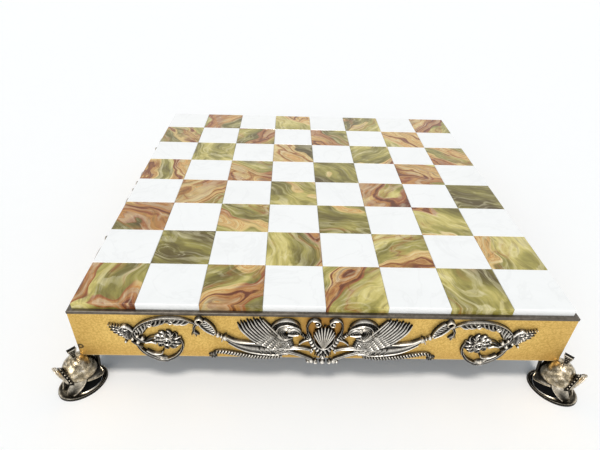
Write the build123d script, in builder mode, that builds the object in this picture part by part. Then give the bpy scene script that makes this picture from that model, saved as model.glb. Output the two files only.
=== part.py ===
from build123d import *

import os
from math import cos, pi, radians, sin, sqrt

os.makedirs("parts", exist_ok=True)

# Playing slab: eight by eight stone squares bonded to a board, all sizes in millimetres
SQUARES = 8
SQUARE = 44.0
TILE_JOINT = 0.15
TILE_THICKNESS = 8.0
BED_THICKNESS = 6.0
SLAB_PROUD = 5.0
SLAB_GAP = 0.3

# Gilt frame with a pewter rim on top and a ledge inside that carries the slab
WALL_THICKNESS = 2.4
WALL_HEIGHT = 43.0
WALL_EDGE = 0.4
RIM_STEP = 0.3
RIM_HEIGHT = 2.4
RIM_EDGE = 0.5
LEDGE_WIDTH = 6.0
LEDGE_THICKNESS = 2.4

# Closing board under the frame, and the blocks in the corners that the feet are screwed to
BASE_THICKNESS = 4.0
PANEL_GAP = 0.3
BLOCK_SIDE = 26.0

# Helmet feet: each stands on an oval collar whose long axis follows the board's diagonal
FOOT_HEIGHT = 28.5
FOOT_REACH = 3.2
COLLAR_LONG = 18.8
COLLAR_SHORT = 14.2
COLLAR_HEIGHT = 2.2
COLLAR_BEVEL = 1.0
HOLE_LONG = 13.2
HOLE_SHORT = 11.2
HOLE_BACK = 2.9
DISH_SLOPE = 1.8
FELT_THICKNESS = 1.2
FELT_GAP = 0.2
FACETS = 14
SHEET = 1.2
BOWL_LONG = 12.4
BOWL_SHORT = 11.3
BOWL_RISE = 12.9
BOWL_CENTRE = FOOT_HEIGHT - 11.1
BOWL_BACK = 0.8
BOWL_RIM = FOOT_HEIGHT - 14.1
BOWL_BREAKS = (0.45, 0.78)
CROWN_PROUD = 1.0
NOTCH_GAP = 0.2
NECK_LOW = FOOT_HEIGHT - 20.0
NECK_LONG = 13.6
NECK_SHORT = 11.7
NECK_BACK = 1.8
NECK_FRONT = -0.5
NECK_FRONT_LOW = FOOT_HEIGHT - 16.1
CHEEK_LONG = 14.6
CHEEK_SHORT = 11.4
CHEEK_GAP = 9.0
CHEEK_REAR_TOP = -1.0
CHEEK_REAR_FOOT = 9.4
BROW_START = 7.9
BROW_BASE = FOOT_HEIGHT - 14.5
BROW_WIDTH = 6.4
BROW_RISE = 8.9
BROW_LEAN = 12.0
PEAK_REACH = 7.5
PEAK_RISE = 39.0
PEAK_FOOT = 2.5
PEAK_FOOT_RISE = 0.6
BAND_PROUD = 0.9
BAND_REACH = 3.6
LUG_WIDTH = 8.0
LUG_SHEET = 1.8
LUG_FOOT = 12.0
LUG_LEVEL = FOOT_HEIGHT - 16.3
LUG_LEAN = 13.4
LUG_WEB = 1.8
LUG_PAD = 7.6
SOCKET_PLACE = 0.4
SOCKET_PLINTH = 4.2
SOCKET_PLINTH_HEIGHT = 1.8
SOCKET_FOOT = 3.4
SOCKET_TOP = 6.6
SOCKET_HEIGHT = 9.4
SOCKET_THICK = 3.2
SOCKET_SLOT = 1.2
SOCKET_SLOT_DEPTH = 4.0

# One screw holds each foot and the base together
SCREW = 3.0
SCREW_LENGTH = 16.0
SCREW_HEAD = 6.0
SCREW_HEAD_HEIGHT = 1.8
SCREW_CLEARANCE = 0.4
PILOT_GAP = 0.1
PILOT_SPARE = 1.0

# Relief castings: thin background parts, the main forms, and the parts that stand proudest
LOW = 1.4
MIDDLE = 2.3
HIGH = 3.2
PROUD = 4.0
DRAWN_HEIGHT = 43.0
FLUTES = 7
FLUTE_REACH = 21.4
FLUTE_ROOT = 15.4
FLUTE_TURN = 12.5

# Levels and half widths that follow from the sizes above
slab_half = SQUARES * SQUARE / 2
inner_half = slab_half + SLAB_GAP
wall_half = inner_half + WALL_THICKNESS
rim_half = wall_half + RIM_STEP
panel_half = inner_half - PANEL_GAP
wall_bottom = FOOT_HEIGHT
wall_top = wall_bottom + WALL_HEIGHT
rim_top = wall_top + RIM_HEIGHT
slab_top = rim_top + SLAB_PROUD
tile_bottom = slab_top - TILE_THICKNESS
bed_bottom = tile_bottom - BED_THICKNESS
ledge_bottom = bed_bottom - LEDGE_THICKNESS
base_top = wall_bottom + BASE_THICKNESS
foot_centre = wall_half + FOOT_REACH
crown_level = FOOT_HEIGHT + CROWN_PROUD
wall_face = Plane(origin=(0, -wall_half, wall_bottom), x_dir=(1, 0, 0), z_dir=(0, -1, 0))
sides = {"front": 0, "right": 90, "back": 180, "left": 270}
corners = {"front_right": -45, "back_right": 45, "back_left": 135, "front_left": -135}


def save(piece, name):
    """Labels a finished piece and writes its STEP file."""
    piece.part.label = name
    export_step(piece.part, f"parts/{name}.step")


# Stone squares, one group of onyx and one of marble in each rank, counted from the front
def rank_of_squares(rank, colour):
    """The four squares of one colour in a rank."""
    first = (rank + colour) % 2
    places = [
        ((file + 0.5) * SQUARE - slab_half, (rank + 0.5) * SQUARE - slab_half)
        for file in range(first, SQUARES, 2)
    ]
    side = SQUARE - TILE_JOINT
    with BuildPart() as squares:
        with BuildSketch(Plane.XY.offset(tile_bottom)):
            with Locations(*places):
                Rectangle(side, side)
        extrude(amount=TILE_THICKNESS)
    return squares


for rank in range(SQUARES):
    save(rank_of_squares(rank, 0), f"onyx_squares_rank_{rank + 1}")
    save(rank_of_squares(rank, 1), f"marble_squares_rank_{rank + 1}")

# Board that the squares are bonded to
with BuildPart() as bed_board:
    with BuildSketch(Plane.XY.offset(bed_bottom)):
        Rectangle(2 * slab_half, 2 * slab_half)
    extrude(amount=BED_THICKNESS)
save(bed_board, "bed_board")


def mitred(profile_plane_points, half, edges_height, edge):
    """A straight front member with this cross-section, cut at 45 degrees at both ends."""
    with BuildPart() as member:
        with BuildSketch(Plane.YZ):
            Polygon(*profile_plane_points, align=None)
        extrude(amount=half, both=True)
        outer = member.edges().filter_by(Axis.X).group_by(Axis.Y)[0]
        chamfer(outer.filter_by(lambda e: e.center().Z in edges_height), edge)
        split(bisect_by=Plane(origin=(0, 0, 0), z_dir=(1, 1, 0)), keep=Keep.BOTTOM)
        split(bisect_by=Plane(origin=(0, 0, 0), z_dir=(-1, 1, 0)), keep=Keep.BOTTOM)
    return member


def around(front_piece, turn):
    """The front piece turned about the middle of the board."""
    with BuildPart() as turned:
        with Locations(Rotation(0, 0, turn)):
            add(front_piece)
    return turned


# Frame walls, one casting a side, with the ledge that the slab lies on
wall_profile = [
    (-wall_half, wall_bottom),
    (-inner_half, wall_bottom),
    (-inner_half, ledge_bottom),
    (-inner_half + LEDGE_WIDTH, ledge_bottom),
    (-inner_half + LEDGE_WIDTH, bed_bottom),
    (-inner_half, bed_bottom),
    (-inner_half, wall_top),
    (-wall_half, wall_top),
]
wall = mitred(wall_profile, wall_half, [wall_bottom], WALL_EDGE)

# Rim, a flat strip on top of each wall
rim_profile = [
    (-rim_half, wall_top),
    (-inner_half, wall_top),
    (-inner_half, rim_top),
    (-rim_half, rim_top),
]
rim = mitred(rim_profile, rim_half, [rim_top], RIM_EDGE)

for side, turn in sides.items():
    save(around(wall.part, turn), f"frame_wall_{side}")
    save(around(rim.part, turn), f"rim_{side}")

# Base board that closes the frame, with a hole for each foot screw
lug_seat = LUG_LEAN + LUG_WEB + LUG_PAD / 2
screw_place = foot_centre - lug_seat / sqrt(2)
screw_places = [(x * screw_place, y * screw_place) for x in (-1, 1) for y in (-1, 1)]
with BuildPart() as base_board:
    with BuildSketch(Plane.XY.offset(wall_bottom)):
        Rectangle(2 * panel_half, 2 * panel_half)
    extrude(amount=BASE_THICKNESS)
    with Locations(*[(x, y, base_top) for x, y in screw_places]):
        Hole((SCREW + SCREW_CLEARANCE) / 2)
save(base_board, "base_board")

# Corner block between the base and the ledge, with the pilot hole of its foot's screw
block_centre = panel_half - BLOCK_SIDE / 2
screw_start = wall_bottom - LUG_SHEET
pilot_depth = screw_start + SCREW_LENGTH + PILOT_SPARE - base_top
with BuildPart() as corner_block:
    with BuildSketch(Plane.XY.offset(base_top)):
        with Locations((block_centre, -block_centre)):
            Rectangle(BLOCK_SIDE, BLOCK_SIDE)
    extrude(amount=ledge_bottom - base_top)
    with BuildSketch(Plane.XY.offset(base_top)):
        with Locations((screw_place, -screw_place)):
            Circle(SCREW / 2 + PILOT_GAP)
    extrude(amount=pilot_depth, mode=Mode.SUBTRACT)

# Screws, one up through each foot's lug and the base into the block
with BuildPart() as foot_screws:
    with BuildSketch(Plane.XY.offset(screw_start - SCREW_HEAD_HEIGHT)):
        with Locations(*screw_places):
            Circle(SCREW_HEAD / 2)
    extrude(amount=SCREW_HEAD_HEIGHT)
    with BuildSketch(Plane.XY.offset(screw_start)):
        with Locations(*screw_places):
            Circle(SCREW / 2)
    extrude(amount=SCREW_LENGTH)
save(foot_screws, "foot_screws")


# Helmet foot, modelled facing +X with its collar's centre at the origin, and turned to its corner afterwards
def oval(long, short, shift):
    """Corners of a faceted oval with its long axis along X."""
    turns = [2 * pi * k / FACETS for k in range(FACETS)]
    return [(shift + long * cos(t), short * sin(t)) for t in turns]


def faceted(levels):
    """A hammered solid of flat facets through ovals, given as height, long half, short half and shift."""
    rings = [
        [Vector(x, y, height) for x, y in oval(long, short, shift)] for height, long, short, shift in levels
    ]
    faces = [Face(Wire.make_polygon(rings[0])), Face(Wire.make_polygon(rings[-1]))]
    for low, high in zip(rings, rings[1:]):
        for k in range(FACETS):
            after = (k + 1) % FACETS
            faces.append(Face(Wire.make_polygon([low[k], low[after], high[after]])))
            faces.append(Face(Wire.make_polygon([low[k], high[after], high[k]])))
    with BuildPart() as solid:
        add(Solid(Shell(faces)))
    return solid.part


def bowl_levels(inset):
    """Levels of the bowl from its rim to its flat crown, this far inside the outer surface."""
    long, short, rise = BOWL_LONG - inset, BOWL_SHORT - inset, BOWL_RISE - inset
    rim_share = (BOWL_RIM - BOWL_CENTRE) / rise
    crown_share = (crown_level - inset - BOWL_CENTRE) / rise
    levels = []
    for share in [rim_share, 0.0, *BOWL_BREAKS, crown_share]:
        width = sqrt(1 - share * share)
        levels.append((BOWL_CENTRE + rise * share, long * width, short * width, -BOWL_BACK))
    return levels


rim_of_bowl = bowl_levels(0)[0]


def skirt_levels(inset):
    """Levels of the flared sheet that the neck guard is cut from, its foot parallel to the table."""
    height, long, short, shift = rim_of_bowl
    low = (NECK_LOW, NECK_LONG - inset, NECK_SHORT - inset, -NECK_BACK)
    return [low, (height, long - inset, short - inset, shift)]


def cheek_levels(inset):
    """Levels of the flared sheet that the cheek guards are cut from."""
    height, long, short, shift = rim_of_bowl
    low = (COLLAR_HEIGHT, CHEEK_LONG - inset, CHEEK_SHORT - inset, 0)
    return [low, (height, long - inset, short - inset, shift)]


def arch(grow):
    """Corners of the arched face opening, wider and higher by this much."""
    turns = [2 * pi * k / FACETS for k in range(FACETS // 2 + 1)]
    return [((BROW_WIDTH + grow) * cos(t), (BROW_RISE + grow) * sin(t)) for t in turns]


# The neck guard's foot falls towards the back
neck_foot = Plane(
    origin=(NECK_FRONT, 0, NECK_FRONT_LOW),
    x_dir=(0, 1, 0),
    z_dir=(NECK_LOW - NECK_FRONT_LOW, 0, NECK_LONG),
)
with BuildPart() as neck_guard:
    add(faceted(skirt_levels(0)))
    add(faceted(skirt_levels(SHEET)), mode=Mode.SUBTRACT)
    split(bisect_by=Plane(origin=(NECK_FRONT, 0, 0), z_dir=(1, 0, 0)), keep=Keep.BOTTOM)
    split(bisect_by=neck_foot, keep=Keep.TOP)

cheek_drop = BOWL_RIM - COLLAR_HEIGHT
cheek_rear = Plane(
    origin=(CHEEK_REAR_FOOT, 0, COLLAR_HEIGHT),
    x_dir=(0, 1, 0),
    z_dir=(cheek_drop, 0, CHEEK_REAR_FOOT - CHEEK_REAR_TOP),
)
with BuildPart() as cheek_guards:
    add(faceted(cheek_levels(0)))
    add(faceted(cheek_levels(SHEET)), mode=Mode.SUBTRACT)
    split(bisect_by=cheek_rear, keep=Keep.TOP)
    with BuildSketch(Plane.XY.offset(COLLAR_HEIGHT)):
        with Locations((CHEEK_LONG, 0)):
            Rectangle(2 * CHEEK_LONG, CHEEK_GAP)
    extrude(amount=cheek_drop, mode=Mode.SUBTRACT)

# The face opening's plane leans forward, and the peak runs up and out from it
brow_plane = Plane(
    origin=(BROW_START, 0, BROW_BASE),
    x_dir=(0, 1, 0),
    z_dir=(cos(radians(BROW_LEAN)), 0, -sin(radians(BROW_LEAN))),
)
peak_way = (cos(radians(PEAK_RISE)), 0, sin(radians(PEAK_RISE)))
peak_start = BROW_RISE + SHEET
peak_tip = (
    BROW_START + peak_start * sin(radians(BROW_LEAN)) + PEAK_REACH * peak_way[0],
    BROW_BASE + peak_start * cos(radians(BROW_LEAN)) + PEAK_REACH * peak_way[2],
)
peak_foot = (BROW_START + PEAK_FOOT, BROW_BASE + PEAK_FOOT_RISE)
peak_edge = Plane(
    origin=(peak_foot[0], 0, peak_foot[1]),
    x_dir=(0, 1, 0),
    z_dir=(peak_foot[1] - peak_tip[1], 0, peak_tip[0] - peak_foot[0]),
)
with BuildPart() as peak:
    with BuildSketch(brow_plane):
        Polygon(*arch(SHEET), align=None)
        Polygon(*arch(0), align=None, mode=Mode.SUBTRACT)
    extrude(amount=PEAK_REACH, dir=peak_way)
    split(bisect_by=peak_edge, keep=Keep.TOP)

# The corner of the frame sits in a notch in the crown
notch_tip = -FOOT_REACH * sqrt(2) + NOTCH_GAP
notch_end = notch_tip - BOWL_LONG
notch_corners = [(notch_tip, 0), (notch_end, BOWL_LONG), (notch_end, -BOWL_LONG)]
lug_corners = [
    (-LUG_FOOT, LUG_LEVEL),
    (-LUG_FOOT - LUG_WEB, LUG_LEVEL),
    (-LUG_LEAN - LUG_WEB, screw_start),
    (-LUG_LEAN - LUG_WEB - LUG_PAD, screw_start),
    (-LUG_LEAN - LUG_WEB - LUG_PAD, FOOT_HEIGHT),
    (-LUG_LEAN, FOOT_HEIGHT),
]
with BuildPart() as helmet:
    add(faceted(bowl_levels(0)))
    add(faceted(bowl_levels(SHEET)), mode=Mode.SUBTRACT)
    with BuildSketch(brow_plane):
        Polygon(*arch(0), align=None)
    extrude(amount=BOWL_LONG, mode=Mode.SUBTRACT)
    with BuildSketch(Plane.XY.offset(FOOT_HEIGHT)):
        Polygon(*notch_corners, align=None)
    extrude(amount=BOWL_RISE, mode=Mode.SUBTRACT)
    add(peak.part)
    with BuildSketch(brow_plane):
        Polygon(*arch(SHEET + BAND_PROUD), align=None)
        Polygon(*arch(SHEET), align=None, mode=Mode.SUBTRACT)
    extrude(amount=BAND_REACH, dir=peak_way)
    add(neck_guard.part)
    add(cheek_guards.part)
    with BuildSketch(Plane.XZ):
        Polygon(*lug_corners, align=None)
    extrude(amount=LUG_WIDTH / 2, both=True)
    with Locations((-lug_seat, 0, FOOT_HEIGHT)):
        Hole((SCREW + SCREW_CLEARANCE) / 2, depth=LUG_SHEET)

with BuildPart() as collar:
    top = COLLAR_LONG - COLLAR_BEVEL, COLLAR_SHORT - COLLAR_BEVEL
    shoulder = COLLAR_HEIGHT - COLLAR_BEVEL
    add(
        faceted(
            [
                (0, COLLAR_LONG, COLLAR_SHORT, 0),
                (shoulder, COLLAR_LONG, COLLAR_SHORT, 0),
                (COLLAR_HEIGHT, *top, 0),
            ]
        )
    )
    dish = [
        (0, HOLE_LONG - DISH_SLOPE, HOLE_SHORT - DISH_SLOPE, -HOLE_BACK),
        (COLLAR_HEIGHT, HOLE_LONG, HOLE_SHORT, -HOLE_BACK),
    ]
    add(faceted(dish), mode=Mode.SUBTRACT)

# Felt pad that fills the collar's opening, flush with its underside
felt_long = HOLE_LONG - DISH_SLOPE - FELT_GAP
felt_short = HOLE_SHORT - DISH_SLOPE - FELT_GAP
with BuildPart() as felt_pad:
    add(
        faceted(
            [
                (0, felt_long, felt_short, -HOLE_BACK),
                (FELT_THICKNESS, felt_long, felt_short, -HOLE_BACK),
            ]
        )
    )

# Crest socket: a fan-shaped holder on a small plinth, with a slot in its top
neck_level = crown_level + SOCKET_PLINTH_HEIGHT
socket_top_level = crown_level + SOCKET_HEIGHT
half_socket = [
    (SOCKET_PLINTH / 2, crown_level),
    (SOCKET_PLINTH / 2, neck_level),
    (SOCKET_FOOT / 2, neck_level),
    (SOCKET_TOP / 2, socket_top_level),
]
with BuildPart() as crest_socket:
    with BuildSketch(Plane.XZ):
        with Locations((SOCKET_PLACE, 0)):
            Polygon(*half_socket, *[(-x, z) for x, z in half_socket[::-1]], align=None)
    extrude(amount=SOCKET_THICK / 2, both=True)
    with BuildSketch(Plane.XY.offset(socket_top_level)):
        Rectangle(3 * SOCKET_TOP, SOCKET_SLOT)
    extrude(amount=-SOCKET_SLOT_DEPTH, mode=Mode.SUBTRACT)

foot_pieces = {"helmet": helmet, "collar": collar, "felt_pad": felt_pad, "crest_socket": crest_socket}
for corner, turn in corners.items():
    place = Location((0, 0, 0), (0, 0, turn)) * Location((foot_centre * sqrt(2), 0, 0))
    for name, master in foot_pieces.items():
        with BuildPart() as foot_piece:
            with Locations(place):
                add(master.part)
        save(foot_piece, f"{name}_{corner}")
    save(around(corner_block.part, turn - corners["front_right"]), f"corner_block_{corner}")


# Relief castings, drawn on the front wall's face: across from its middle, up from its lower edge
def strip(points, widths, steps):
    """Outline of a strip along a smooth line through the points, its width changing evenly."""
    line = Edge.make_spline([Vector(*p) for p in points])
    near, far = [], []
    for k in range(steps + 1):
        share = k / steps
        place, way = line.position_at(share), line.tangent_at(share)
        spot = share * (len(widths) - 1)
        first = min(int(spot), len(widths) - 2)
        half = (widths[first] + (widths[first + 1] - widths[first]) * (spot - first)) / 2
        near.append((place.X - way.Y * half, place.Y + way.X * half))
        far.append((place.X + way.Y * half, place.Y - way.X * half))
    return near + far[::-1]


def fingers(root, tips, depth):
    """Outline from root corners round pointed tips, with a notch this deep, as a share, between each two."""
    middle = Vector(sum(x for x, y in root) / len(root), sum(y for x, y in root) / len(root))
    outline = list(root)
    for tip, after in zip(tips, tips[1:]):
        notch = (Vector(*tip) + Vector(*after)) / 2
        notch += (middle - notch) * depth
        outline += [tip, (notch.X, notch.Y)]
    return outline + [tips[-1]]


def boss(centre, radius, count, stretch=1):
    """Outline of a round boss with this many sides."""
    turns = [2 * pi * k / count for k in range(count)]
    return [(centre[0] + radius * cos(t), centre[1] + stretch * radius * sin(t)) for t in turns]


def casting(pieces):
    """One casting from outlines that follow the wall's height, each raised from its face by its own amount."""
    stretch = WALL_HEIGHT / DRAWN_HEIGHT
    with BuildPart() as cast:
        for outline, height in pieces:
            with BuildSketch(wall_face):
                Polygon(*[(x, y * stretch) for x, y in outline], align=None)
            extrude(amount=height)
    return cast


def mirrored(pieces):
    """The same outlines on the other half of the wall."""
    return [([(-x, y) for x, y in outline], height) for outline, height in pieces]


# Outer scroll: a leafy stem that ends in a plume, over a flower held in a ring
stem_line = [(89.4, 34.8), (99, 40.2), (110, 41.2), (120, 39.6), (129, 34.2), (135.2, 27.4), (134.4, 16)]
ring_line = [(134.4, 16), (127.4, 3.2), (117, -1.8), (106.4, 4.8), (102.6, 13), (106, 19.6)]
lobe_tips = [(102.4, 31.6), (109.6, 30.6), (116.6, 31.2), (126.4, 30.6)]
plume_tips = [(139.4, 33.6), (150.6, 33.4), (151.6, 27.6), (147.2, 20.6)]
scroll_pieces = [
    (strip(stem_line, [1.8, 2.4, 2.8, 2.6, 3.2, 3.4], 6), HIGH),
    (strip([(92.0, 36.6), (94.6, 31.8), (92.2, 27.6)], [2.0, 1.2], 2), MIDDLE),
    (strip(ring_line, [2.0, 2.8, 2.6, 2.0], 6), HIGH),
    (fingers([(119, 38.4), (102, 40.4)], lobe_tips, 0.75), MIDDLE),
    (boss((112.4, 19.2), 8.9, 7, 0.94), MIDDLE),
    (boss((111.4, 19.6), 4.4, 6), HIGH),
    (strip([(134.2, 24), (128, 18.6), (119, 20)], [3.4, 3.2, 2.4], 2), HIGH),
    (boss((129.8, 21.4), 3.0, 6), PROUD),
    (fingers([(133, 16.4), (134, 21)], plume_tips, 0.3), MIDDLE),
]
scroll_right_hand = casting(scroll_pieces)
scroll_left_hand = casting(mirrored(scroll_pieces))

# Griffin, its body drawn out into a horn that the scroll's calyx closes
calyx_line = [(86.4, 39.2), (82.4, 33.4), (77.6, 27.4), (71, 22.4)]
body_line = [(71, 21.6), (62, 14.6), (50, 11.0), (38, 10.2), (24, 12.6)]
tail_line = [(30, 6), (44, 3.2), (55, 4.4), (65, 7.2), (74, 8.8), (81, 4.4)]
mane_line = [(22.4, 41.0), (30, 41.4), (35.2, 35.6), (34.6, 28), (28.8, 22.4), (25, 14)]
coverts = [(24, 16), (29, 24), (35.6, 33), (40, 36)]
covert_tips = [(45.6, 33.4), (49.4, 28), (52.4, 22)]
primary_tips = [(46.2, 42.4), (51.4, 42.4), (56.4, 42.4), (61.6, 41.6), (59.6, 34.4)]
griffin_pieces = [
    (strip(calyx_line, [3.2, 5.2, 4.8, 3.2], 3), MIDDLE),
    (boss((71.0, 23.0), 3.0, 6), PROUD),
    (strip(body_line, [4.4, 7.6, 9.8, 9.4, 8.2], 4), HIGH),
    (strip(tail_line, [2.6, 3.0, 2.6], 4), MIDDLE),
    (strip([(27, 12.4), (18, 12.2), (9.4, 11.4)], [4.4, 3.0, 2.4], 2), HIGH),
    (strip([(26, 9.4), (17, 5.2), (9.0, 0.8)], [3.6, 2.6, 2.4], 2), MIDDLE),
    (fingers([(48, 20), (36, 28)], primary_tips, 0.2), LOW),
    (fingers([(44, 15), *coverts], covert_tips, 0.3), MIDDLE),
    (boss((28.4, 33.2), 7.4, 5, 1.14), MIDDLE),
    (strip(mane_line, [1.8, 2.6, 3.0, 5.6], 4), HIGH),
    ([(26, 39), (31, 36.6), (31, 31.4), (26, 29.4), (21, 30), (17.8, 32.6), (22.4, 36.4)], PROUD),
]

# Shell between the two griffins, on a ribbed band, with an upright volute on each side
flute_turns = [radians(FLUTE_TURN * (k - (FLUTES - 1) / 2)) for k in range(FLUTES)]
flute_tips = [(FLUTE_REACH * sin(turn), FLUTE_ROOT + FLUTE_REACH * cos(turn)) for turn in flute_turns]
lyre_line = [(10.6, 24.0), (12.3, 32), (11.2, 38.6), (7.2, 41.0), (5.0, 38.0)]
shell_pieces = [
    (strip([(-11, 26), (-8.4, 14.4), (0, 8.4), (8.4, 14.4), (11, 26)], [3.6, 4.8, 3.6], 6), MIDDLE),
    (fingers([(3, 12), (-3, 12)], flute_tips, 0.12), HIGH),
    (boss((0, -0.6), 4.2, 6, 1.3), HIGH),
    (strip([(-9.6, -0.6), (9.6, -0.6)], [4.6, 4.6], 1), MIDDLE),
]
volute_pieces = [
    (strip(lyre_line, [2.4, 1.6, 2.4], 4), HIGH),
    (strip([(11.2, 22.6), (15.6, 26.0), (21.4, 26.8)], [3.4, 2.6, 2.4], 2), MIDDLE),
]
centre_half = griffin_pieces + volute_pieces
centre = casting(shell_pieces + centre_half + mirrored(centre_half))

for side, turn in sides.items():
    save(around(scroll_right_hand.part, turn), f"{side}_scroll_right_hand")
    save(around(scroll_left_hand.part, turn), f"{side}_scroll_left_hand")
    save(around(centre.part, turn), f"{side}_griffins_and_shell")
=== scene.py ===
"""Finishes a raised chess board: stone squares, a gilt frame, silvered relief castings and helmet feet."""

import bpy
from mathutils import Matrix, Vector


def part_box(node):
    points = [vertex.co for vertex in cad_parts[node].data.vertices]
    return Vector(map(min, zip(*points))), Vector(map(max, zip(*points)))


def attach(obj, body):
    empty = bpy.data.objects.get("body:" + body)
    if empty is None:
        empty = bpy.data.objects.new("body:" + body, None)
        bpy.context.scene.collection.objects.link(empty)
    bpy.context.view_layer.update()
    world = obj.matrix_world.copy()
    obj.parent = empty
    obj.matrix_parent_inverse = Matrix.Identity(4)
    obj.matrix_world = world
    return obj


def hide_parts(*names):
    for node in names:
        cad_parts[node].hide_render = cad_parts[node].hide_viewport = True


bl_info = {
    "name": "Onyx Chess Board",
    "version": (1, 0, 0),
    "blender": (4, 5, 0),
    "location": "3D View > Sidebar > Chess Board",
    "description": "Builds the finished pieces of a chess board round its fixed frame",
    "category": "Add Mesh",
}

from math import cos, pi, radians, sin, sqrt

import bmesh
import bpy
import numpy as np
from mathutils import Matrix, Vector

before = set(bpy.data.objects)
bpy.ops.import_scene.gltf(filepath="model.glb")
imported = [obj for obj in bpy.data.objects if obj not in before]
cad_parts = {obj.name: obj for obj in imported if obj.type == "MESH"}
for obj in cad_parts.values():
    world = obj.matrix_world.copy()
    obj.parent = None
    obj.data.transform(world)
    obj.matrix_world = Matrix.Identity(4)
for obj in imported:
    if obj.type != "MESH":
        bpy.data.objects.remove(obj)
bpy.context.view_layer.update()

MM = 0.001

# How close two points lie that are made one
WELD, STONE_WELD = 0.0001 * MM, 0.001 * MM

# How far each side is turned from the front, and each corner's way out from the middle, in degrees from +X
SIDES = {"front": 0, "right": 90, "back": 180, "left": 270}
CORNERS = {"front_right": -45, "back_right": 45, "back_left": 135, "front_left": -135}
FILES = RANKS = 8

# Places taken from the frame, in millimetres
wall_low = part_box("frame_wall_front")[0] / MM
wall_half, wall_bottom = -wall_low.y, wall_low.z
tile_low, tile_high = [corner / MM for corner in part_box("marble_squares_rank_1")]
slab_half = tile_high.x
square = 2 * slab_half / FILES
foot_high = wall_bottom

# The helmet feet, in millimetres: out along the diagonal, across it, and up from the table
FOOT_PLACE = 181.9
CROWN_RISE = 1.0
foot_reach = FOOT_PLACE * sqrt(2)
crown_high = foot_high + CROWN_RISE
SHEET = 1.0

# The bowl's half length, half width and height, the level of its middle and how far back it lies
BOWL = (12.4, 11.3, 12.9)
BOWL_CENTRE, BOWL_BACK = 17.4, 0.8
BOWL_RIM_RISE = radians(-13.5)
BOWL_TOP = radians(88.5)

# The notch for the frame's corner: its tip, how steeply the bowl rises beside it, and the gap to the frame
NOTCH_TIP, NOTCH_SLOPE, FRAME_GAP = -4.3, 8.0, 0.05

# The face opening, as angles from the front and up, then the neck guard's edge from its side to its back
OPENING_HALF, OPENING_RISE = radians(44), radians(40.5)
NECK_EDGE = ((-0.5, 11.2, 12.4), (-4.5, 11.5, 11.3), (-9.3, 10.7, 9.6), (-13.0, 9.0, 8.5), (-14.0, 6.5, 9.2),
             (-13.8, 4.0, 10.5), (-13.6, 0.0, 11.2))
NECK_FRONT = radians(92)
NECK_CURVE, NECK_WIRE = 1.6, 0.50

# A cheek guard's foot as half length, half width, shift and level, then its edges as distances out and across
CHEEK_FOOT = (14.6, 11.4, 0.0, 2.0)
CHEEK_REAR, CHEEK_SWEEP = 0.0, 10.6
CHEEK_FRONT_TOP, CHEEK_FRONT_FOOT = 7.0, 3.5
CHEEK_CURVE, CHEEK_PLUMP = 1.4, 0.5
CHEEK_REAR_WIRE, CHEEK_FRONT_WIRE = (0.30, 0.45, 0.42, 0.36), (0.30, 0.38, 0.32)

# Places along one half of the brow, then its band above and below them, its peak, wires and beads
BROW_PLACES = ((11.8, 0.0, 25.2), (11.6, 2.4, 24.4), (11.0, 4.6, 22.2), (10.2, 6.4, 19.6), (9.7, 7.3, 16.5),
               (9.3, 7.8, 13.6))
BROW_ABOVE, BROW_BELOW = 2.6, 1.3
BROW_FACE, BROW_BACK, BROW_WIRE = 0.35, 0.45, 0.30
BROW_WIRE_OUT = 0.55
PEAK_REACH, PEAK_LIFT, PEAK_DISH = 4.2, 0.5, 0.45
PEAK_RISE = radians(40)
PEAK_WIRE, PEAK_LINE = (0.25, 0.55, 0.55, 0.55, 0.25), (0.2, 0.3, 0.3, 0.2)
PEAK_LINE_BACK = 1.15
BEAD_OUT = 0.45

# The strap behind the bowl, out and up, then its width, its thickness and its pad under the frame
STRAP_LINE = ((-13.4, 10.8), (-13.8, 12.6), (-14.2, 16.0), (-14.6, 20.2), (-15.0, 24.2), (-15.8, 27.4))
STRAP_WIDTH, STRAP_SHEET, STRAP_PAD, STRAP_LIP = 7.8, 1.6, 6.4, 1.2

# The collar's half length, half width and height, and its opening's half length, half width and shift back
COLLAR = (18.4, 13.9, 2.2)
HOLE, HOLE_FOOT = (13.2, 11.2, 2.9), (11.4, 9.4, 2.9)
COLLAR_RIPPLE, COLLAR_BROAD = 0.12, 9.0

# The collar's skin from its outer foot in to its opening: share of the way, share of its height, dark (patina
# in the hollow and painted shade down the outer edge), and warm (a painted reflection of the gilt)
COLLAR_PROFILE = (
    (1.0, 0.0, 0.55, 0.0), (1.0, 0.55, 0.50, 0.0), (0.985, 0.82, 0.60, 0.0), (0.94, 1.0, 0.0, 0.0),
    (0.86, 0.90, 0.10, 0.05), (0.74, 0.62, 0.45, 0.2), (0.50, 0.50, 0.30, 0.25), (0.24, 0.62, 0.35, 0.2),
    (0.10, 0.90, 0.0, 0.1), (0.03, 0.92, 0.1, 0.1), (0.0, 0.80, 0.85, 0.0),
)

# The crest socket: its length at the foot and at the top, its height and thickness, then its slot and plinth,
# its sunk faces and wires, and the rows of studs on each face
SOCKET = (3.4, 6.6, 9.4, 3.2)
SOCKET_PLACE, SOCKET_SLOT, SOCKET_DEPTH = 0.4, 1.2, 4.0
SOCKET_PLINTH = (4.2, 1.8)
SOCKET_INLAY, SOCKET_SPREAD = 0.35, 0.7
SOCKET_EDGE, SOCKET_WIRE, SOCKET_TOP_WIRE = 0.3, 0.34, 0.36
STUD, STUD_GAP, STUD_DEEP = (0.12, 0.26, 0.12), 1.5, 0.32
STUD_ROWS = ((0.30, 1), (0.52, 2), (0.74, 3))

# Lengths of the lobes of the scroll's frond, one leaf's set after another, in millimetres
LOBES = (4.8, 7.4, 9.8, 11.2, 9.0)

# A small round mark near the left end of the front wall, its middle, radius and soft edge in metres
RING_MARK = (-0.1767, -wall_half * MM, 0.0384)
RING_RADIUS, RING_EDGE = 0.0016, (0.0005, 0.0011)


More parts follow.
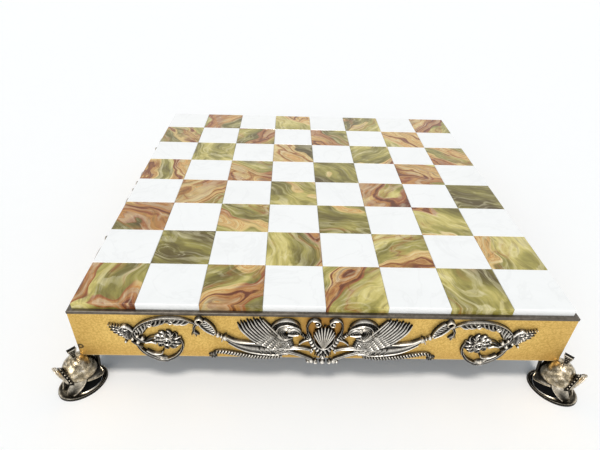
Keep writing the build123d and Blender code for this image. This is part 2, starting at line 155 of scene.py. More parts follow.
def rim_of_bowl(inset):
    """Half length, half width, shift and level of the bowl's rim."""
    width = cos(BOWL_RIM_RISE)
    level = BOWL_CENTRE + BOWL[2] * sin(BOWL_RIM_RISE)
    return (BOWL[0] - inset) * width, (BOWL[1] - inset) * width, -BOWL_BACK, level


class Value:
    """A node's output. Arithmetic on it adds Math nodes to its tree."""

    def __init__(self, nodes, socket):
        self.nodes, self.socket = nodes, socket

    def out(self, name):
        """Another output of the same node."""
        return Value(self.nodes, self.socket.node.outputs[name])

    def math(self, operation, *others):
        """This value and the others through a Math node."""
        sockets = dict(enumerate((self, *others)))
        return self.nodes.make("ShaderNodeMath", {"operation": operation}, sockets)

    def __add__(self, other):
        return self.math("ADD", other)

    def __sub__(self, other):
        return self.math("SUBTRACT", other)

    def __rsub__(self, other):
        return (self * -1) + other

    def __mul__(self, other):
        return self.math("MULTIPLY", other)

    def __truediv__(self, other):
        return self.math("DIVIDE", other)

    __radd__, __rmul__ = __add__, __mul__

    def between(self, low, high):
        """0 below low, 1 above high, and smooth from one to the other."""
        settings = {"interpolation_type": "SMOOTHSTEP"}
        return self.nodes.make("ShaderNodeMapRange", settings, {0: self, 1: low, 2: high})


class Nodes:
    """A node tree, with the one method that adds a node to it."""

    def __init__(self, tree):
        self.tree = tree
        tree.nodes.clear()

    def make(self, kind, settings=None, sockets=None, out=0):
        """A node of this kind, its settings made first and its sockets set or linked after."""
        node = self.tree.nodes.new(kind)
        for key, setting in (settings or {}).items():
            if key == "stops":
                self.fill_ramp(node.color_ramp, setting)
            else:
                setattr(node, key, setting)
        for key, given in (sockets or {}).items():
            for one in given if isinstance(given, list) else [given]:
                if isinstance(one, Value):
                    self.tree.links.new(one.socket, node.inputs[key])
                else:
                    node.inputs[key].default_value = one
        return Value(self, node.outputs[out]) if len(node.outputs) else node

    def fill_ramp(self, ramp, stops):
        """Puts these places and colours on a colour ramp."""
        while len(ramp.elements) < len(stops):
            ramp.elements.new(1)
        for element, (place, colour) in zip(ramp.elements, stops):
            element.position = place
            element.color = (*colour, 1)

    def split(self, vector):
        """The three numbers of a vector."""
        parts = self.make("ShaderNodeSeparateXYZ", None, {0: vector})
        return parts, parts.out(1), parts.out(2)


class Finish(Nodes):
    """A procedural material."""

    def __init__(self, name):
        self.material = bpy.data.materials.new(name)
        self.material.use_nodes = True
        super().__init__(self.material.node_tree)
        self.place = self.make("ShaderNodeTexCoord", out="Object")

    def stretched(self, vector, factors):
        """The vector with each of its numbers multiplied."""
        return self.make("ShaderNodeMapping", None, {0: vector, "Scale": factors})

    def scaled(self, vector, size):
        """The vector counted in units of this size, in metres."""
        return self.stretched(vector, tuple(1 / s for s in size))

    def noise(self, vector, scale=1, detail=3, rough=0.5, bend=0):
        """Noise from 0 to 1 over the vector."""
        sockets = {"Vector": vector, "Scale": scale, "Detail": detail, "Roughness": rough, "Distortion": bend}
        return self.make("ShaderNodeTexNoise", None, sockets)

    def grain(self, *settings):
        """Noise over the piece's own place, its scale counted per metre."""
        return self.noise(self.place, *settings)

    def add(self, first, second):
        """Two vectors added."""
        return self.make("ShaderNodeVectorMath", {"operation": "ADD"}, {0: first, 1: second})

    def times(self, vector, number):
        """A vector made longer or shorter."""
        return self.make("ShaderNodeVectorMath", {"operation": "SCALE"}, {0: vector, "Scale": number})

    def attribute(self, name, out="Fac"):
        """A value that the piece's own points carry."""
        return self.make("ShaderNodeAttribute", {"attribute_name": name}, out=out)

    def ramp(self, value, stops):
        """A colour from a value."""
        return self.make("ShaderNodeValToRGB", {"stops": stops}, {0: value})

    def mix(self, share, first, second, way="MIX"):
        """Two colours mixed by a share."""
        first, second = [(*c, 1) if isinstance(c, tuple) else c for c in (first, second)]
        settings = {"data_type": "RGBA", "blend_type": way}
        return self.make("ShaderNodeMix", settings, {0: share, 6: first, 7: second}, out=2)

    def bump(self, height, depth, strength):
        """A normal from a height, its depth given in metres."""
        return self.make("ShaderNodeBump", None, {"Height": height, "Distance": depth, "Strength": strength})

    def surface(self, **sockets):
        """The surface itself, with its sockets named in words."""
        names = {key.replace("_", " ").title().replace("Ior", "IOR"): v for key, v in sockets.items()}
        names = {k: (*v, 1) if isinstance(v, tuple) else v for k, v in names.items()}
        shader = self.make("ShaderNodeBsdfPrincipled", None, names)
        self.make("ShaderNodeOutputMaterial", None, {0: shader})
        return self.material


# The size that the patterns of the stones are counted in, in metres
STONE = (0.044, 0.044, 0.044)

# Colours of the onyx's green parts by how cloudy they are, and of its warm and red parts by their layers
GREEN_ONYX = (
    (0.36, (0.130, 0.095, 0.026)), (0.46, (0.220, 0.190, 0.056)), (0.53, (0.330, 0.300, 0.100)),
    (0.60, (0.470, 0.430, 0.165)), (0.67, (0.650, 0.590, 0.280)), (0.74, (0.780, 0.720, 0.430)),
    (0.82, (0.560, 0.470, 0.190)),
)
WARM_ONYX = (
    (0.30, (0.250, 0.080, 0.035)), (0.38, (0.440, 0.200, 0.085)), (0.44, (0.620, 0.400, 0.200)),
    (0.49, (0.780, 0.620, 0.380)), (0.52, (0.660, 0.330, 0.110)), (0.55, (0.830, 0.700, 0.450)),
    (0.60, (0.560, 0.380, 0.190)), (0.66, (0.700, 0.550, 0.310)), (0.74, (0.360, 0.170, 0.080)),
)
RED_ONYX = (
    (0.34, (0.190, 0.050, 0.022)), (0.43, (0.380, 0.125, 0.050)), (0.50, (0.600, 0.330, 0.140)),
    (0.56, (0.350, 0.100, 0.045)), (0.66, (0.520, 0.270, 0.120)),
)
ONYX_BORDER, ONYX_HALO = (0.80, 0.66, 0.40), (0.52, 0.31, 0.11)
ONYX_STREAK, ONYX_DEEP, ONYX_PALE = (0.150, 0.105, 0.030), (1.0, 0.95, 0.66), (0.95, 0.86, 0.58)


def onyx(colours):
    """Green and brown banded onyx, each square cut from another place in the stone."""
    stone = Finish("banded_onyx")
    vein = tuple(colours.onyx_vein)
    across, deep, turn = stone.split(stone.attribute("cut", "Vector"))
    warmth, depth, redness = stone.split(stone.attribute("kind", "Vector"))
    shift = stone.make("ShaderNodeCombineXYZ", None, {0: across * 3.1, 1: deep * 2.3, 2: across + deep})
    sockets = {"Vector": stone.add(stone.scaled(stone.place, STONE), shift), "Angle": turn}
    place = stone.make("ShaderNodeVectorRotate", {"rotation_type": "Z_AXIS"}, sockets)
    drift = stone.noise(place, 0.75, 2, 0.5).out("Color")
    bent = stone.stretched(stone.add(place, stone.times(drift, 1.1)), (0.50, 1.45, 1.0))

    # The layers of the stone, and how pale the green is
    height = stone.noise(bent, 0.82, 2, 0.35)
    ripple = stone.noise(bent, 3.6, 4, 0.55)
    level = height * 17 + ripple * 1.3 + across * 5
    layer = stone.make("ShaderNodeTexNoise", {"noise_dimensions": "1D"},
                       {"W": level, "Scale": 1.0, "Detail": 3, "Roughness": 0.6})
    cloud = stone.noise(bent, 1.3, 5, 0.58, 0.3) * 0.95 + layer * 0.16 + depth * -0.17 + 0.055
    green = stone.ramp(cloud, GREEN_ONYX)
    warm, red = [stone.ramp(layer, stops) for stops in (WARM_ONYX, RED_ONYX)]

    # Warm stone lies in the green, with a pale or red border
    reach = height + (warmth - 0.5) * 0.36 + (ripple - 0.5) * 0.03
    blush = (stone.noise(bent, 1.0, 2, 0.4) + (redness - 0.5) * 0.36).between(0.53, 0.60)
    colour = stone.mix(reach.between(0.500, 0.512), green, stone.mix(blush * 0.9, warm, red))
    edge = 1 - (reach - 0.512).math("ABSOLUTE").between(0.003, 0.012)
    colour = stone.mix(edge * 0.75, colour, stone.mix(blush, ONYX_BORDER, vein))

    # Rusty seams run through it here and there
    fold = (stone.noise(bent, 0.9, 3, 0.5, 0.2) - 0.5).math("ABSOLUTE")
    seam, halo = 1 - fold.between(0.002, 0.008), 1 - fold.between(0.004, 0.05)
    shown = (stone.noise(place, 1.1, 1) + (redness - 0.5) * 0.5).between(0.48, 0.62)
    colour = stone.mix(halo * shown * 0.45, colour, ONYX_HALO)
    colour = stone.mix(seam * shown * 0.55, colour, vein)

    # Fine dark and pale streaks, and the depth of the polished stone
    streak = stone.noise(stone.stretched(bent, (1.0, 5.0, 3.0)), 2.2, 4, 0.6)
    pale = (layer.between(0.50, 0.62) * 0.5 + streak.between(0.5, 0.72) * 0.5) * ripple.between(0.3, 0.6)
    colour = stone.mix(streak.between(0.50, 0.28) * 0.45, colour, ONYX_STREAK)
    colour = stone.mix(0.34, colour, colour, "MULTIPLY")
    colour = stone.mix(1.0, colour, ONYX_DEEP, "MULTIPLY")
    colour = stone.mix(pale * 0.50, colour, ONYX_PALE)
    return stone.surface(base_color=colour, roughness=0.14, specular_ior_level=0.30, coat_weight=0.08,
                         coat_roughness=0.04)


MARBLE_CLOUD, MARBLE_LINE = (0.87, 0.87, 0.855), (0.66, 0.66, 0.65)


def marble(colours):
    """White marble with the faintest grey clouding."""
    stone = Finish("white_marble")
    place = stone.scaled(stone.place, STONE)
    cloud = stone.noise(place, 1.3, 5, 0.6, 0.8)
    line = 1 - (stone.noise(place, 0.9, 4, 0.55, 1.2) - 0.5).math("ABSOLUTE").between(0.002, 0.03)
    colour = stone.mix(cloud.between(0.4, 0.8) * 0.5, tuple(colours.marble), MARBLE_CLOUD)
    colour = stone.mix(line * 0.12, colour, MARBLE_LINE)
    return stone.surface(base_color=colour, roughness=0.14, coat_weight=0.3, coat_roughness=0.05)


# The painted highlight along the gilt's lower edge, and the dark round mark
GILT_EDGE_HIGHLIGHT, GILT_RING = (0.98, 0.82, 0.48), (0.05, 0.035, 0.02)


def gilt(colours):
    """Satin gilt with a stippled skin, browned by painted shade low down, at the ends, in the middle and
    behind the shell, with a painted highlight along its lower edge and a dark round mark.
    """
    metal = Finish("stippled_gilt")
    grain = metal.grain(1500, 3, 0.65)
    patch = metal.grain(22, 4, 0.6, 0.4)
    speck = metal.grain(620, 2, 0.6)
    tone = patch.between(0.3, 0.75) * 0.25 + grain.between(0.36, 0.64) * 0.35
    tone = tone + speck.between(0.38, 0.62) * 0.40
    x, y, up = metal.split(metal.place)
    along_wall = x.math("ABSOLUTE").math("MINIMUM", y.math("ABSOLUTE"))
    # Painted shade: browner low down, near the ends, in the middle round the castings and behind the shell
    low, ends = up.between(0.046, 0.030) * 0.35, along_wall.between(0.150, 0.178) * 0.22
    middle, behind_shell = along_wall.between(0.09, 0.02) * 0.25, along_wall.between(0.024, 0.009)
    shade = low + ends + middle + behind_shell * up.between(0.038, 0.048)
    # A painted highlight along the wall's lower edge
    lower_edge_highlight = up.between(0.0298, 0.0289)
    colour = metal.mix(tone, tuple(colours.gilt_low), tuple(colours.gilt_high))
    colour = metal.mix(shade * (patch * 0.8 + 0.4), colour, tuple(colours.gilt_brown))
    colour = metal.mix(lower_edge_highlight * 0.5, colour, GILT_EDGE_HIGHLIGHT)
    sockets = {0: metal.place, 1: RING_MARK}
    gap = metal.make("ShaderNodeVectorMath", {"operation": "DISTANCE"}, sockets, out="Value")
    mark = 1 - (gap - RING_RADIUS).math("ABSOLUTE").between(*RING_EDGE)
    colour = metal.mix(mark * 0.85, colour, GILT_RING)
    normal = metal.bump(grain * 0.6 + speck * 0.4, 0.00012, 0.6)
    return metal.surface(base_color=colour, metallic=0.82, roughness=tone * -0.08 + 0.50, normal=normal)


# How bright silver is by how dark its points are, from patina in the hollows and from painted shade and
# highlights, and its cream tint
TARNISH_AND_SHADE = ((0.0, 0.80), (0.10, 0.46), (0.26, 0.19), (0.46, 0.045), (1.0, 0.006))
SILVER_CREAM = (0.86, 0.70, 0.44)


def silvered(colours, name, smooth=0.30, reflection_mottle=0.0, hammer=0.00010, cream=0.0):
    """Silver, black with patina in the hollows, lighter with painted highlights and darker with painted shade
    as its points say, with darker clouded patches that are painted reflections, and warmed toward gilt where
    its points say so.
    """
    metal = Finish(name)
    dark, warm = metal.attribute("dark"), metal.attribute("warm")
    wear = metal.grain(260, 4, 0.6)
    fine = metal.grain(1100, 3, 0.6)
    cloud = metal.grain(340, 4, 0.65, 0.4)
    # Patina, painted shade and painted highlights from the points, uneven wear, and darker clouded patches
    # that are painted reflections
    depth = dark + (wear - 0.5) * 0.26 + (fine - 0.5) * 0.34 + (cloud - 0.42).math("MAXIMUM", 0) * reflection_mottle
    tint = metal.mix(warm, tuple(colours.silver), tuple(colours.gilt_high))
    tint = metal.mix(cloud.between(0.20, 0.52) * cream, tint, SILVER_CREAM)
    tone = metal.ramp(depth, [(place, (grey, grey, grey)) for place, grey in TARNISH_AND_SHADE])
    colour = metal.mix(1.0, tone, tint, "MULTIPLY")
    rough = dark.between(0.25, 0.8) * 0.30 + fine * 0.10 + smooth
    normal = metal.bump(cloud * 0.5 + wear * 0.35 + fine * 0.15, hammer, 0.6)
    return metal.surface(base_color=colour, metallic=1.0, roughness=rough, normal=normal)


def felt():
    """Black felt."""
    cloth = Finish("black_felt")
    nap = cloth.grain(1800, 3, 0.7)
    colour = cloth.mix(nap, (0.006, 0.006, 0.006), (0.022, 0.022, 0.022))
    normal = cloth.bump(nap, 0.0002, 0.6)
    return cloth.surface(base_color=colour, roughness=0.95, specular_ior_level=0.2, normal=normal)


def pewter(colours):
    """Dark pewter, drawn lengthwise."""
    metal = Finish("dark_pewter")
    streak = metal.noise(metal.scaled(metal.place, (0.02, 0.02, 0.0006)), 1, 4, 0.6)
    spot = metal.grain(320, 3, 0.6)
    tone = streak.between(0.3, 0.75) * 0.6 + spot.between(0.35, 0.75) * 0.4
    colour = metal.mix(tone, tuple(colours.pewter), tuple(colours.pewter_worn))
    normal = metal.bump(spot, 0.0001, 0.5)
    return metal.surface(base_color=colour, metallic=0.9, roughness=spot * 0.15 + 0.30, normal=normal)


def timber(name, light, dark, rough):
    """Plain board with a straight grain."""
    wood = Finish(name)
    grain = wood.noise(wood.scaled(wood.place, (0.12, 0.008, 0.008)), 1, 6, 0.6, 0.6)
    pores = wood.noise(wood.scaled(wood.place, (0.012, 0.0006, 0.0006)), 1, 2)
    colour = wood.mix(grain.between(0.3, 0.7), light, dark)
    normal = wood.bump(pores, 0.0001, 0.4)
    return wood.surface(base_color=colour, roughness=pores * 0.1 + rough, normal=normal)


def steel():
    """Plain steel of the screws."""
    metal = Finish("screw_steel")
    swirl = metal.grain(700, 3, 0.6)
    colour = metal.mix(swirl, (0.40, 0.40, 0.41), (0.62, 0.61, 0.60))
    return metal.surface(base_color=colour, metallic=1.0, roughness=swirl * 0.15 + 0.25)


def finished(name, points, faces, nodes, slot, material, sharp, **marks):
    """A finished piece from points in millimetres, which takes the place of these nodes."""
    mesh = bpy.data.meshes.new(name)
    mesh.from_pydata([tuple(p) for p in np.asarray(points, float) * MM], [], faces)
    for mark, values in marks.items():
        layer = mesh.attributes.new(mark, "FLOAT", "POINT")
        layer.data.foreach_set("value", np.asarray(values, np.float32))
    shape = bmesh.new()
    shape.from_mesh(mesh)
    bmesh.ops.remove_doubles(shape, verts=shape.verts, dist=WELD)
    bmesh.ops.recalc_face_normals(shape, faces=shape.faces)
    shape.to_mesh(mesh)
    shape.free()
    mesh.shade_smooth()
    mesh.set_sharp_from_angle(angle=radians(sharp))
    mesh.materials.append(material)
    return placed(name, mesh, nodes)


def placed(name, mesh, nodes):
    """Links a mesh as a piece that rides with the board and stands for these nodes."""
    if not len(mesh.polygons):
        raise RuntimeError(f"{name} came out empty")
    piece = bpy.data.objects.new(name, mesh)
    bpy.context.scene.collection.objects.link(piece)
    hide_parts(*nodes)
    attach(piece, "root")
    return piece


def turned(points, degrees):
    """Points turned about the middle of the board."""
    c, s = cos(radians(degrees)), sin(radians(degrees))
    x, y, z = np.asarray(points, float).T
    return np.stack([c * x - s * y, s * x + c * y, z], 1)


def along(points, count):
    """Evenly spaced places along a smooth line through the points, and the line's direction there."""
    p = np.asarray(points, float)
    p = np.vstack([2 * p[0] - p[1], p, 2 * p[-1] - p[-2]])
    t = np.linspace(0, 1, 16, endpoint=False)[:, None]
    runs = []
    for a, b, c, d in zip(p, p[1:], p[2:], p[3:]):
        bend, twist = 2 * a - 5 * b + 4 * c - d, 3 * b - a - 3 * c + d
        runs.append(0.5 * (2 * b + (c - a) * t + bend * t**2 + twist * t**3))
    line = np.vstack([*runs, p[-2:-1]])
    reach = np.concatenate([[0], np.cumsum(np.linalg.norm(np.diff(line, axis=0), axis=1))])
    even = np.linspace(0, reach[-1], count)
    places = np.stack([np.interp(even, reach, column) for column in line.T], 1)
    ways = np.gradient(places, axis=0)
    return places, ways / np.linalg.norm(ways, axis=1, keepdims=True)


# Cross-sections of the relief: how far up a form stands, s along it and t from edge to edge
def rounded(s, t):
    """A plain round form."""
    return np.sqrt(np.clip(1 - t * t, 0, 1))


def grooved(s, t):
    """Two bright ridges with a sunk line between them."""
    return np.clip(rounded(s, t) ** 0.5 - 0.92 * np.exp(-((t / 0.30) ** 2)), 0, 1)


def bordered(s, t):
    """A sunk middle between two raised edges."""
    return 0.04 + 0.96 * np.exp(-(((np.abs(t) - 0.64) / 0.28) ** 2)) + 0 * s


def ridge(s, t):
    """One narrow bright ridge between two sunk sides."""
    return np.exp(-((t / 0.62) ** 2)) + 0 * s


def fluted(s, t):
    """A flute with a sunk line on each side."""
    return 1 - 0.98 * np.abs(t) ** 1.9 + 0 * s


def combed(count, bare=0.25):
    """Fine ridges that run along a form."""
    return lambda s, t: rounded(s, 0.9 * t) * (bare + (1 - bare) * np.abs(np.cos(pi * count * t / 2)) ** 0.8)


def horned(s, t):
    """A smooth round form with one sunk line below its upper edge."""
    line, swell = np.exp(-(((t + 0.56) / 0.12) ** 2)), np.exp(-(((t + 0.15) / 0.2) ** 2))
    return rounded(s, 0.9 * t) * (0.60 - 0.50 * line + 0.26 * swell)


def hatched(s, t):
    """A dark feather with a thin quill and fine bars."""
    bars = 0.5 + 0.5 * np.cos(2 * pi * (5 * s - 0.8 * np.abs(t)))
    return np.clip((0.22 + 0.24 * bars) * (1 - np.abs(t) ** 4) + 0.42 * np.exp(-((t / 0.16) ** 2)), 0, 1)


def feather(s, t):
    """A short feather with a dark line round it and a faint quill."""
    edge = (1 - np.abs(t) ** 1.9) * np.clip((1 - s) * 3.2, 0, 1) ** 0.7
    return np.clip(1.02 * edge - 0.30 * np.exp(-((t / 0.18) ** 2)), 0, 1)


def veined(s, t):
    """A leaf with a sunk midrib and side veins."""
    side = 0.5 + 0.5 * np.cos(2 * pi * (3.5 * s - 0.9 * np.abs(t)))
    midrib = 0.6 * np.exp(-((t / 0.2) ** 2))
    return np.clip(1.0 * (1 - np.abs(t) ** 3) - midrib - 0.55 * side * np.abs(t), 0, 1)


def twisted(turns):
    """A rope of this many strands' turns."""
    def rope(s, t):
        return rounded(s, 0.85 * t) * (0.02 + 0.98 * np.abs(np.sin(pi * (turns * s + 0.55 * t))) ** 0.8)
    return rope


def ribbed(count, slope=0.0):
    """Ribs across a form, sloped by a share of their spacing."""
    def ribs(s, t):
        return rounded(s, 0.8 * t) * (0.06 + 0.94 * np.abs(np.cos(pi * (count * s + slope * t))) ** 1.3)
    return ribs


def scaled_neck(s, t):
    """Short feathers in staggered rows."""
    rows = np.abs(np.sin(pi * (7 * s + 0.5 * np.cos(2 * pi * 1.5 * t))))
    return rounded(s, 0.85 * t) * (0.30 + 0.70 * rows)


class Shape:
    """Closed forms gathered into one mesh, with how dark each point is, from patina and painted shade, and
    how warm, from gilt and painted reflections of the gilt.
    """

    def __init__(self):
        self.points, self.faces, self.dark, self.warm = [], [], [], []

    def loft(self, rings, dark, warm=0.0, closed=False):
        """A closed skin through rings of points, its ends capped or joined to each other."""
        rings = np.asarray(rings, float)
        dark = np.broadcast_to(np.asarray(dark, float), rings.shape[:2]).reshape(-1)
        warm = np.broadcast_to(np.asarray(warm, float), rings.shape[:2]).reshape(-1)
        rows, size = rings.shape[:2]
        first = sum(len(p) for p in self.points)
        index = first + np.arange(rows * size).reshape(rows, size)
        if closed:
            index = np.vstack([index, index[:1]])
        after = np.roll(index, -1, axis=1)
        skin = np.stack([index[:-1], after[:-1], after[1:], index[1:]], 2).reshape(-1, 4)
        self.faces += skin.tolist()
        if not closed:
            self.faces += [index[0][::-1].tolist(), index[-1].tolist()]
        self.points.append(rings.reshape(-1, 3))
        self.dark.append(dark)
        self.warm.append(warm)

    def sheet(self, outer, inner, dark_outer=0.0, dark_inner=1.0, warm_inner=0.0, closed=False):
        """A closed skin between two grids of points, row by row."""
        dark, warm = [np.concatenate([0 * outer[..., 0] + first, 0 * inner[..., 0] + last], 1)
                      for first, last in ((dark_outer, dark_inner), (0.0, warm_inner))]
        self.loft(np.concatenate([outer, inner[:, ::-1]], 1), dark, warm, closed)

    def rod(self, line, radii, dark=0.0, warm=0.0, sides=8, steps=40):
        """A round rod along a smooth line, its radius going evenly through the values given."""
        places, ways = along(line, steps + 1)
        side = np.cross(ways, (0.0, 0.0, 1.0))
        side /= np.linalg.norm(side, axis=1, keepdims=True)
        rise = np.cross(side, ways)
        radius = np.interp(np.linspace(0, 1, steps + 1), np.linspace(0, 1, len(radii)), radii)[:, None, None]
        turn = (2 * pi * np.arange(sides) / sides)[None, :, None]
        rings = places[:, None] + radius * (side[:, None] * np.cos(turn) + rise[:, None] * np.sin(turn))
        self.loft(rings, dark, warm)

    def piece(self, name, nodes, slot, turn, reach, material, sharp):
        """The shape as a finished piece, moved out from the middle of the board and turned about it."""
        points = turned(np.vstack(self.points) + (reach, 0, 0), turn)
        marks = {"dark": np.concatenate(self.dark), "warm": np.concatenate(self.warm)}
        return finished(name, points, self.faces, nodes, slot, material, sharp, **marks)


class Relief(Shape):
    """Closed raised forms on a flat wall: across from its middle, up from its foot and out from its face."""

    def __init__(self, rim):
        super().__init__()
        self.rim = rim

    def form(self, line, widths, heights, shape, steps, across, warm=0.0):
        """One form along a smooth line, its width and height going evenly through the values given."""
        places, ways = along(line, steps + 1)
        s = np.linspace(0, 1, steps + 1)[:, None]
        t = np.linspace(-1, 1, across + 1)[None, :]
        half = np.interp(s[:, 0], np.linspace(0, 1, len(widths)), widths)[:, None] / 2
        high = np.interp(s[:, 0], np.linspace(0, 1, len(heights)), heights)[:, None]
        level = shape(s, t) + 0 * s * t
        u = places[:, :1] - ways[:, 1:] * half * t
        v = places[:, 1:] + ways[:, :1] * half * t
        out = self.rim + (high - self.rim) * level
        top = np.stack([u, v, out], 2)
        foot = top[:, [-1, 0]] * (1, 1, 0)
        ring = np.concatenate([top, foot], 1)
        # Hollows are dark with patina; painted shade darkens edges that look down, and a painted highlight
        # brightens edges that look up, as if lit from above
        lean = t * ways[:, :1]
        rubbed, shaded = 0.7 * np.clip(lean, 0, 1) ** 4, 0.40 * np.clip(-lean, 0, 1) ** 2
        dark = (1 - level) ** 1.3 * (1 - rubbed) + shaded
        # The side walls are dark with patina and painted shade, less where they face up
        dark = np.concatenate([np.clip(dark, 0, 1), 0.90 - 0.40 * lean[:, [-1, 0]]], 1)
        self.loft(ring, dark, warm * (1 - dark))

    def wire(self, line, widths, heights, steps, warm=0.0):
        """A plain round wire."""
        self.form(line, widths, heights, rounded, steps, 6, warm)

    def bead(self, centre, radius, height, warm=0.0):
        """A round bead."""
        reach = np.array([-1, -0.92, -0.7, -0.38, 0, 0.38, 0.7, 0.92, 1])
        widths = 2 * radius * np.sqrt(np.clip(1 - reach**2, 0.02, 1))
        u, v = centre

        def dome(s, t):
            across = 1 - (2 * s - 1) ** 2
            return np.sqrt(np.clip(across - t * t * across, 0, 1))

        self.form([(u - radius, v), (u + radius, v)], widths, [height], dome, 12, 8, warm)

    def blade(self, root, tip, width, height, bow, shape, steps, across, warm=0.0):
        """A pointed form from root to tip, bowed to its left by a share of its length."""
        root, tip = np.array(root, float), np.array(tip, float)
        way = tip - root
        middle = (root + tip) / 2 + bow * np.array([-way[1], way[0]])
        widths = np.array([0.55, 0.85, 1, 1, 0.9, 0.62, 0.06]) * width
        heights = np.array([0.85, 1, 1, 0.95, 0.85, 0.7, 0.5]) * height
        self.form([root, middle, tip], widths, heights, shape, steps, across, warm)

    def curl(self, centre, radius, start, turns, widths, height, way=1):
        """A volute that winds inwards from its radius, starting at this many degrees."""
        share = np.linspace(0, 1, 13)
        angles = radians(start) + way * 2 * pi * turns * share
        reach = radius * (1 - 0.72 * share)
        line = np.stack([centre[0] + reach * np.cos(angles), centre[1] + reach * np.sin(angles)], 1)
        self.form(line, widths, [height], rounded, 28, 6)

    def mirrored(self):
        """The same forms on the other half of the wall."""
        other = Relief(self.rim)
        other.points = [p * (-1, 1, 1) for p in self.points]
        other.faces, other.dark, other.warm = self.faces, self.dark, self.warm
        return other

    def join(self, other):
        """Takes in another relief's forms."""
        first = sum(len(p) for p in self.points)
        self.points = self.points + other.points
        self.faces = self.faces + [[first + i for i in face] for face in other.faces]
        self.dark, self.warm = self.dark + other.dark, self.warm + other.warm
        return self

    def casting(self, name, node, turn, material):
        """The relief as a finished casting on the wall that is turned this far from the front."""
        upright = Shape()
        u, v, out = np.vstack(self.points).T
        upright.points = [np.stack([wall_half + out, u, wall_bottom + v], 1)]
        upright.faces, upright.dark, upright.warm = self.faces, self.dark, self.warm
        return upright.piece(name, [node], "silvered", turn - 90, 0, material, 48)


def draw_stem(relief):
    """The scroll's stem, with its tendril and the leaves of its frond."""
    stem = [(89.2, 35.0), (94, 38.0), (100, 40.6), (110, 41.3), (118, 40.3), (126, 37.0), (132.4, 31.6),
            (135, 27)]
    relief.form(stem, [1.4, 2.2, 2.6, 2.6, 2.8, 3.0, 2.6], [2.6, 3.2, 3.4, 3.2], grooved, 44, 8, 0.1)
    relief.form([(90.4, 36.4), (92.6, 31.6), (92.2, 27.6)], [2.2, 1.8, 1.4], [2.6], grooved, 16, 8)
    for tip in ((94.8, 23.6), (91.4, 22.2), (89.0, 24.6)):
        relief.blade((92.3, 28.6), tip, 1.9, 2.5, 0.0, ridge, 10, 6)
    places, ways = along(stem, 17)
    for k in range(2, 16):
        lobe = k % len(LOBES)
        inwards = np.array([ways[k][1], -ways[k][0]])
        tip = places[k] + LOBES[lobe] * (0.74 * ways[k] + 0.66 * inwards)
        relief.blade(places[k], tip, 3.3, 2.9 + 0.16 * lobe, -0.16, ridge, 16, 8)
        if lobe == 1:
            relief.curl(places[k] + 2.6 * inwards, 1.9, 20, 1.0, [1.2, 0.9], 3.7, way=-1)


def draw_plume(relief):
    """The plume at the scroll's outer end, with the knot of beads that it springs from."""
    tips = [(150.8, 33.2), (152.2, 30.8), (151.8, 28.0), (150.0, 25.4), (147.2, 23.0), (143.8, 20.8)]
    for k, tip in enumerate(tips):
        relief.blade((136.4 + 0.4 * k, 25.8 - 1.3 * k), tip, 3.2, 2.7, 0.08, hatched, 20, 8)
    for k in range(6):
        relief.bead((151.4 - 1.9 * k, 34.2 - 0.25 * k), 0.8, 2.9, 0.5)
    hook = [(135.6, 28.6), (137.8, 31.6), (141.2, 33.4), (144.2, 31.4)]
    relief.wire(hook, [2.2, 2.6, 2.2, 1.4], [3.2], 18)
    relief.curl((140.6, 31.4), 2.6, 120, 1.1, [1.4, 1.0], 3.0)
    relief.bead((142.2, 17.2), 1.3, 2.8)
    knot = (((129.6, 21.4), 2.0), ((133.2, 17.6), 2.0), ((136.6, 21.0), 1.7), ((132.8, 23.8), 1.5))
    for centre, radius in knot:
        relief.bead(centre, radius, 3.9, 0.15)
    stalk = [(135.2, 28), (134.6, 24), (131.8, 20), (128, 17.2)]
    relief.form(stalk, [2.6, 3.4, 3.2, 1.6], [3.4], grooved, 18, 8)
    relief.form([(137.8, 18.6), (134.4, 15.2), (130.6, 12.6)], [1.2, 2.2, 1.4], [3.2], grooved, 12, 6)


def draw_flower(relief):
    """The half-open flower inside the ring, its petals fanned and its heart looped."""
    centre = np.array([112.2, 19.4])
    petals = ((10, 10.4, 6.4, 5.0, 2.9), (7, 7.2, 5.0, 4.8, 3.5))
    for count, reach, length, width, height in petals:
        for k in range(count):
            turn = 2 * pi * (k + 0.25 * count) / count
            way = np.array([cos(turn), 0.92 * sin(turn)])
            root, tip = centre + way * (reach - length), centre + way * reach
            relief.blade(root, tip, width, height, 0.22, bordered, 12, 10)
    relief.curl(centre, 3.8, 40, 1.6, [1.4, 1.2, 0.8], 4.3)
    relief.bead(centre + (8.2, 3.4), 1.5, 3.6, 0.1)
    relief.bead(centre + (8.6, -2.6), 1.4, 3.4)
    relief.form([(119, 23.4), (123.6, 22.2), (127.6, 19.4)], [1.4, 2.2, 1.6], [3.2], grooved, 12, 6)
    relief.wire([(120.4, 16.6), (124.4, 17.6), (128, 17.0)], [1.2, 1.9, 1.4], [3.0], 12)


def draw_ring(relief):
    """The ring round the flower, with the leaf that turns up inside it."""
    ring = [(134.4, 15.2), (131.6, 8.6), (126.0, 2.6), (117.4, -1.6), (108.8, 2.0), (103.4, 8.6),
            (101.8, 15.0), (102.8, 20.4)]
    relief.form(ring, [1.6, 2.6, 3.0, 2.8, 2.6, 2.4, 2.0, 1.2], [3.2, 3.4, 3.4, 3.2, 2.6], grooved, 64, 8)
    relief.blade((114.6, -0.6), (127.4, 6.0), 4.2, 3.3, -0.10, veined, 16, 8, 0.1)
    turn_up = [(128.4, 8.6), (123.4, 5.0), (118.0, 5.6), (116.4, 8.8)]
    relief.wire(turn_up, [1.4, 2.0, 1.8, 1.2], [3.2], 16, 0.1)
    relief.bead((116.8, -3.0), 1.3, 2.6)
    relief.blade((120.4, -1.2), (113.4, -3.6), 2.2, 2.8, 0.1, veined, 10, 6)


